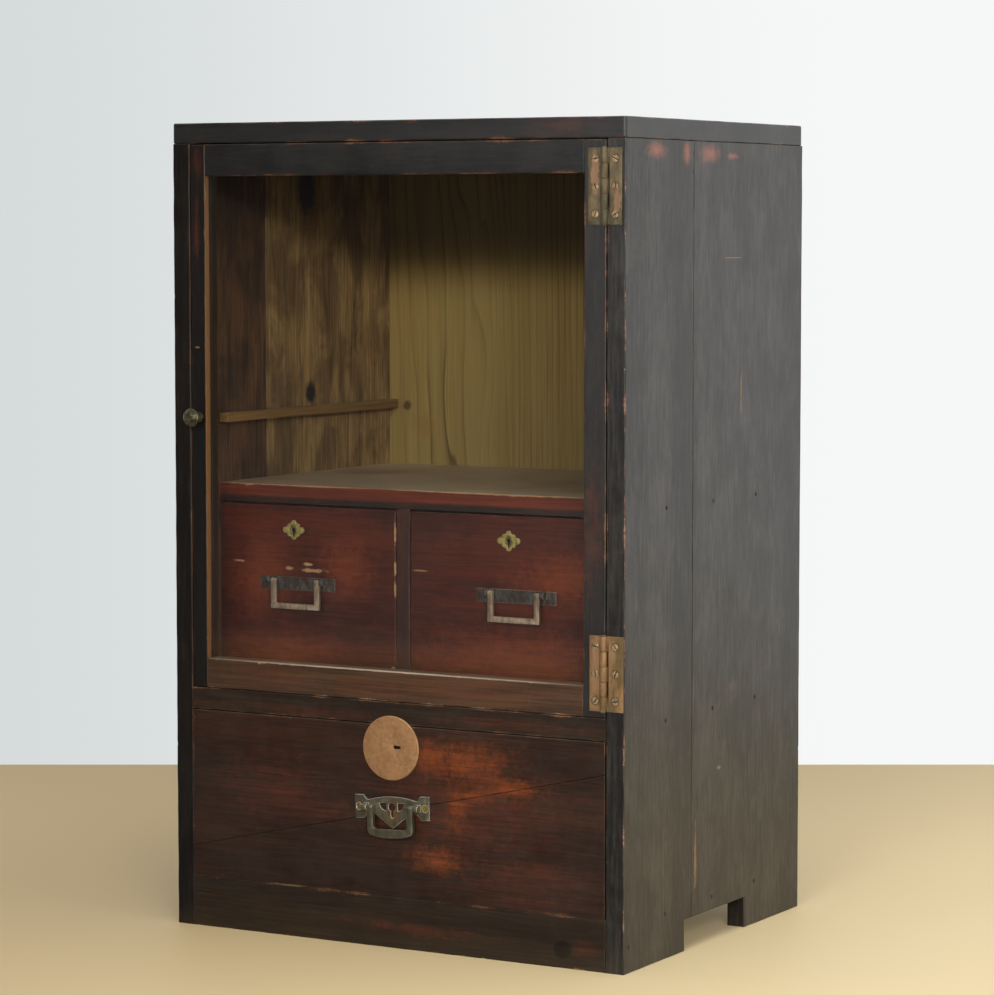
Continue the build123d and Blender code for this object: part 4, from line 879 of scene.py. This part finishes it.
carried = {"door_glass": "glass", "case_nails": "darkSteel"}
for part in ("case", "bolt"):
    carried.update({drawer + "_lock_" + part: "darkSteel" for drawer in ("left", "right", "lower")})
for node, finish in carried.items():
    mesh = frame["nodes"][node].data
    mesh.materials.clear()
    mesh.materials.append(finishes[finish])

print("stage: camera, floor, backdrop and lamps")
studio = {
    "cameraPlace": (1.2625, -2.199, 0.5037), "cameraTurn": (85.561, 0.0, 29.714), "lens": 126.88,
    "floor": tone(204, 178, 132), "floorRight": tone(255, 232, 182), "floorSeen": 0.14,
    "wallLeft": tone(214, 219, 219), "wallRight": tone(246, 247, 247), "wallDistance": 0.72, "wallHeight": 3.5,
    "worldSeen": 0.78, "worldFill": 0.15, "cardTop": 0.012, "cardFoot": 0.1, "panelStrength": 1.5}
camera = newObject("camera", bpy.data.cameras.new("camera"))
camera.location = studio["cameraPlace"]
camera.rotation_euler = [math.radians(a) for a in studio["cameraTurn"]]
camera.data.lens, camera.data.sensor_width = studio["lens"], 36.0
bpy.context.scene.camera = camera


def stageSheet(name, corners, material):
    mesh = bpy.data.meshes.new(name)
    mesh.from_pydata([tuple(c) for c in corners], [], [tuple(range(len(corners)))])
    mesh.materials.append(material)
    sheet = newObject(name, mesh)
    return sheet


def seenRays(tree):
    # 1 for the camera's rays and for those it sees in a mirror or through the glass
    path = put(tree, "ShaderNodeLightPath").outputs
    return greatest(tree, path["Is Camera Ray"], greatest(tree, path["Is Glossy Ray"], path["Is Transmission Ray"]))


floorMaterial, floorTree, floorShader = startMaterial("paleFloor", studio["floor"])
floorPlace = ownPlace(floorTree)
floorSide = parts(floorTree, floorPlace)[0]
# painted light: the floor's tone runs from darker at the left to paler at the right
floorTone = mixed(floorTree, ranged(floorTree, floorSide, -0.4, 0.5), studio["floor"], studio["floorRight"])
floorTree.links.new(floorTone, floorShader.inputs["Base Color"])
# painted light: the camera also sees a faint glow of the floor's own tone
floorTree.links.new(floorTone, floorShader.inputs["Emission Color"])
floorSeen = put(floorTree, "ShaderNodeLightPath").outputs["Is Camera Ray"]
floorGlow = times(floorTree, floorSeen, studio["floorSeen"])
floorTree.links.new(floorGlow, floorShader.inputs["Emission Strength"])
floorShader.inputs["Roughness"].default_value = 0.6
stageSheet("floor", [(-9, -9, 0), (9, -9, 0), (9, 9, 0), (-9, 9, 0)], floorMaterial)

heading = math.radians(studio["cameraTurn"][2])
ahead = Vector((-math.sin(heading), math.cos(heading), 0.0))
across = Vector((ahead.y, -ahead.x, 0.0))
upward = Vector((0.0, 0.0, 1.0))


def glowMaterial(name, one, other, low, high, axis, turn, strengthFill):
    # light of its own that runs from one tone to another along an axis; a diffuse ray sees only the fill strength
    material, tree, shader = startMaterial(name, one)
    tree.nodes.remove(shader)
    place = ownPlace(tree)
    turned = put(tree, "ShaderNodeMapping", {0: place, 2: (0.0, 0.0, turn)}).outputs[0]
    along = parts(tree, turned)[axis]
    colour = mixed(tree, ranged(tree, along, low, high), one, other)
    strength = ranged(tree, seenRays(tree), 0.0, 1.0, strengthFill, 1.0)
    glow = put(tree, "ShaderNodeEmission", {"Color": colour, "Strength": strength})
    clear = put(tree, "ShaderNodeBsdfTransparent")
    back = put(tree, "ShaderNodeNewGeometry").outputs["Backfacing"]
    both = put(tree, "ShaderNodeMixShader", {0: back, 1: glow.outputs[0], 2: clear.outputs[0]})
    tree.links.new(both.outputs[0], tree.nodes["Material Output"].inputs["Surface"])
    return material


wallMaterial = glowMaterial("paleWall", studio["wallLeft"], studio["wallRight"], -0.5, 0.35, 0, -heading,
                            studio["worldFill"] / 0.8)
foot, rise = ahead * studio["wallDistance"], upward * studio["wallHeight"]
wallLeft, wallRight = foot - across * 4, foot + across * 4
stageSheet("wall", [wallLeft, wallRight, wallRight + rise, wallLeft + rise], wallMaterial)

# a dark card at the front left, unseen by the camera: the front and the glass mirror it
cardFoot, cardTop = ((studio[key],) * 3 + (1.0,) for key in ("cardFoot", "cardTop"))
cardMaterial = glowMaterial("darkCard", cardFoot, cardTop, 0.1, 0.75, 2, 0.0, 1.0)
# a dark sheet just over the floor at the front left, seen only in mirrors: painted shade in the floor's reflection
darkOutline = [(-3.0, -3.2, 0.003), (1.1, -3.2, 0.003), (0.16, -0.16, 0.003), (-3.0, -0.16, 0.003)]
darkFloor = stageSheet("darkFloor", darkOutline, cardMaterial)
darkFloor.visible_camera = darkFloor.visible_diffuse = darkFloor.visible_shadow = False
cardMiddle, cardAcross = Vector((-0.85, -1.55, 0.0)), Vector((0.8686, -0.4956, 0.0))


def standingCard(name, start, stop, foot, top, material):
    # an upright sheet from one distance along the card's line to another, facing the cabinet, unseen by the camera
    near, far = cardMiddle + cardAcross * start, cardMiddle + cardAcross * stop
    corners = [far + upward * foot, near + upward * foot, near + upward * top, far + upward * top]
    stageSheet(name, corners, material).visible_camera = False


standingCard("darkCard", -1.35, 0.3, 0.004, 2.4, cardMaterial)
panelTone = tuple(studio["panelStrength"] * c for c in (0.96, 0.98, 1.0)) + (1.0,)
panelMaterial = glowMaterial("brightPanel", panelTone, panelTone, 0.0, 1.0, 2, 0.0, 0.0)
standingCard("brightPanel", 0.33, 1.15, 0.25, 1.6, panelMaterial)

world = bpy.data.worlds.new("studioAir")
world.use_nodes = True
bpy.context.scene.world = world
air = world.node_tree
airGlow = air.nodes["Background"]
airGlow.inputs["Color"].default_value = (0.97, 0.985, 1.0, 1.0)
airStrength = ranged(air, seenRays(air), 0.0, 1.0, studio["worldFill"], studio["worldSeen"])
air.links.new(airStrength, airGlow.inputs["Strength"])


def softbox(name, place, height, size, watts, colour=(1.0, 0.985, 0.96)):
    # a rectangular lamp aimed at a height on the cabinet's middle line
    light = bpy.data.lights.new(name, "AREA")
    light.shape, light.size, light.size_y = "RECTANGLE", size[0], size[1]
    light.energy, light.color = watts, colour
    holder = newObject(name, light)
    holder.location = place
    holder.rotation_euler = (Vector((0.0, 0.0, height)) - Vector(place)).to_track_quat("-Z", "Y").to_euler()
    holder.visible_camera = False
    return holder


softbox("keyLamp", (1.75, -2.2, 1.14), 0.28, (0.7, 0.3), 22.0)
softbox("fillLamp", (0.45, -2.7, 1.24), 0.28, (1.3, 0.3), 31.0).visible_glossy = False
softbox("topLamp", (0.4, -0.3, 2.6), 0.3, (1.6, 1.6), 28.0, (1.0, 1.0, 1.0))
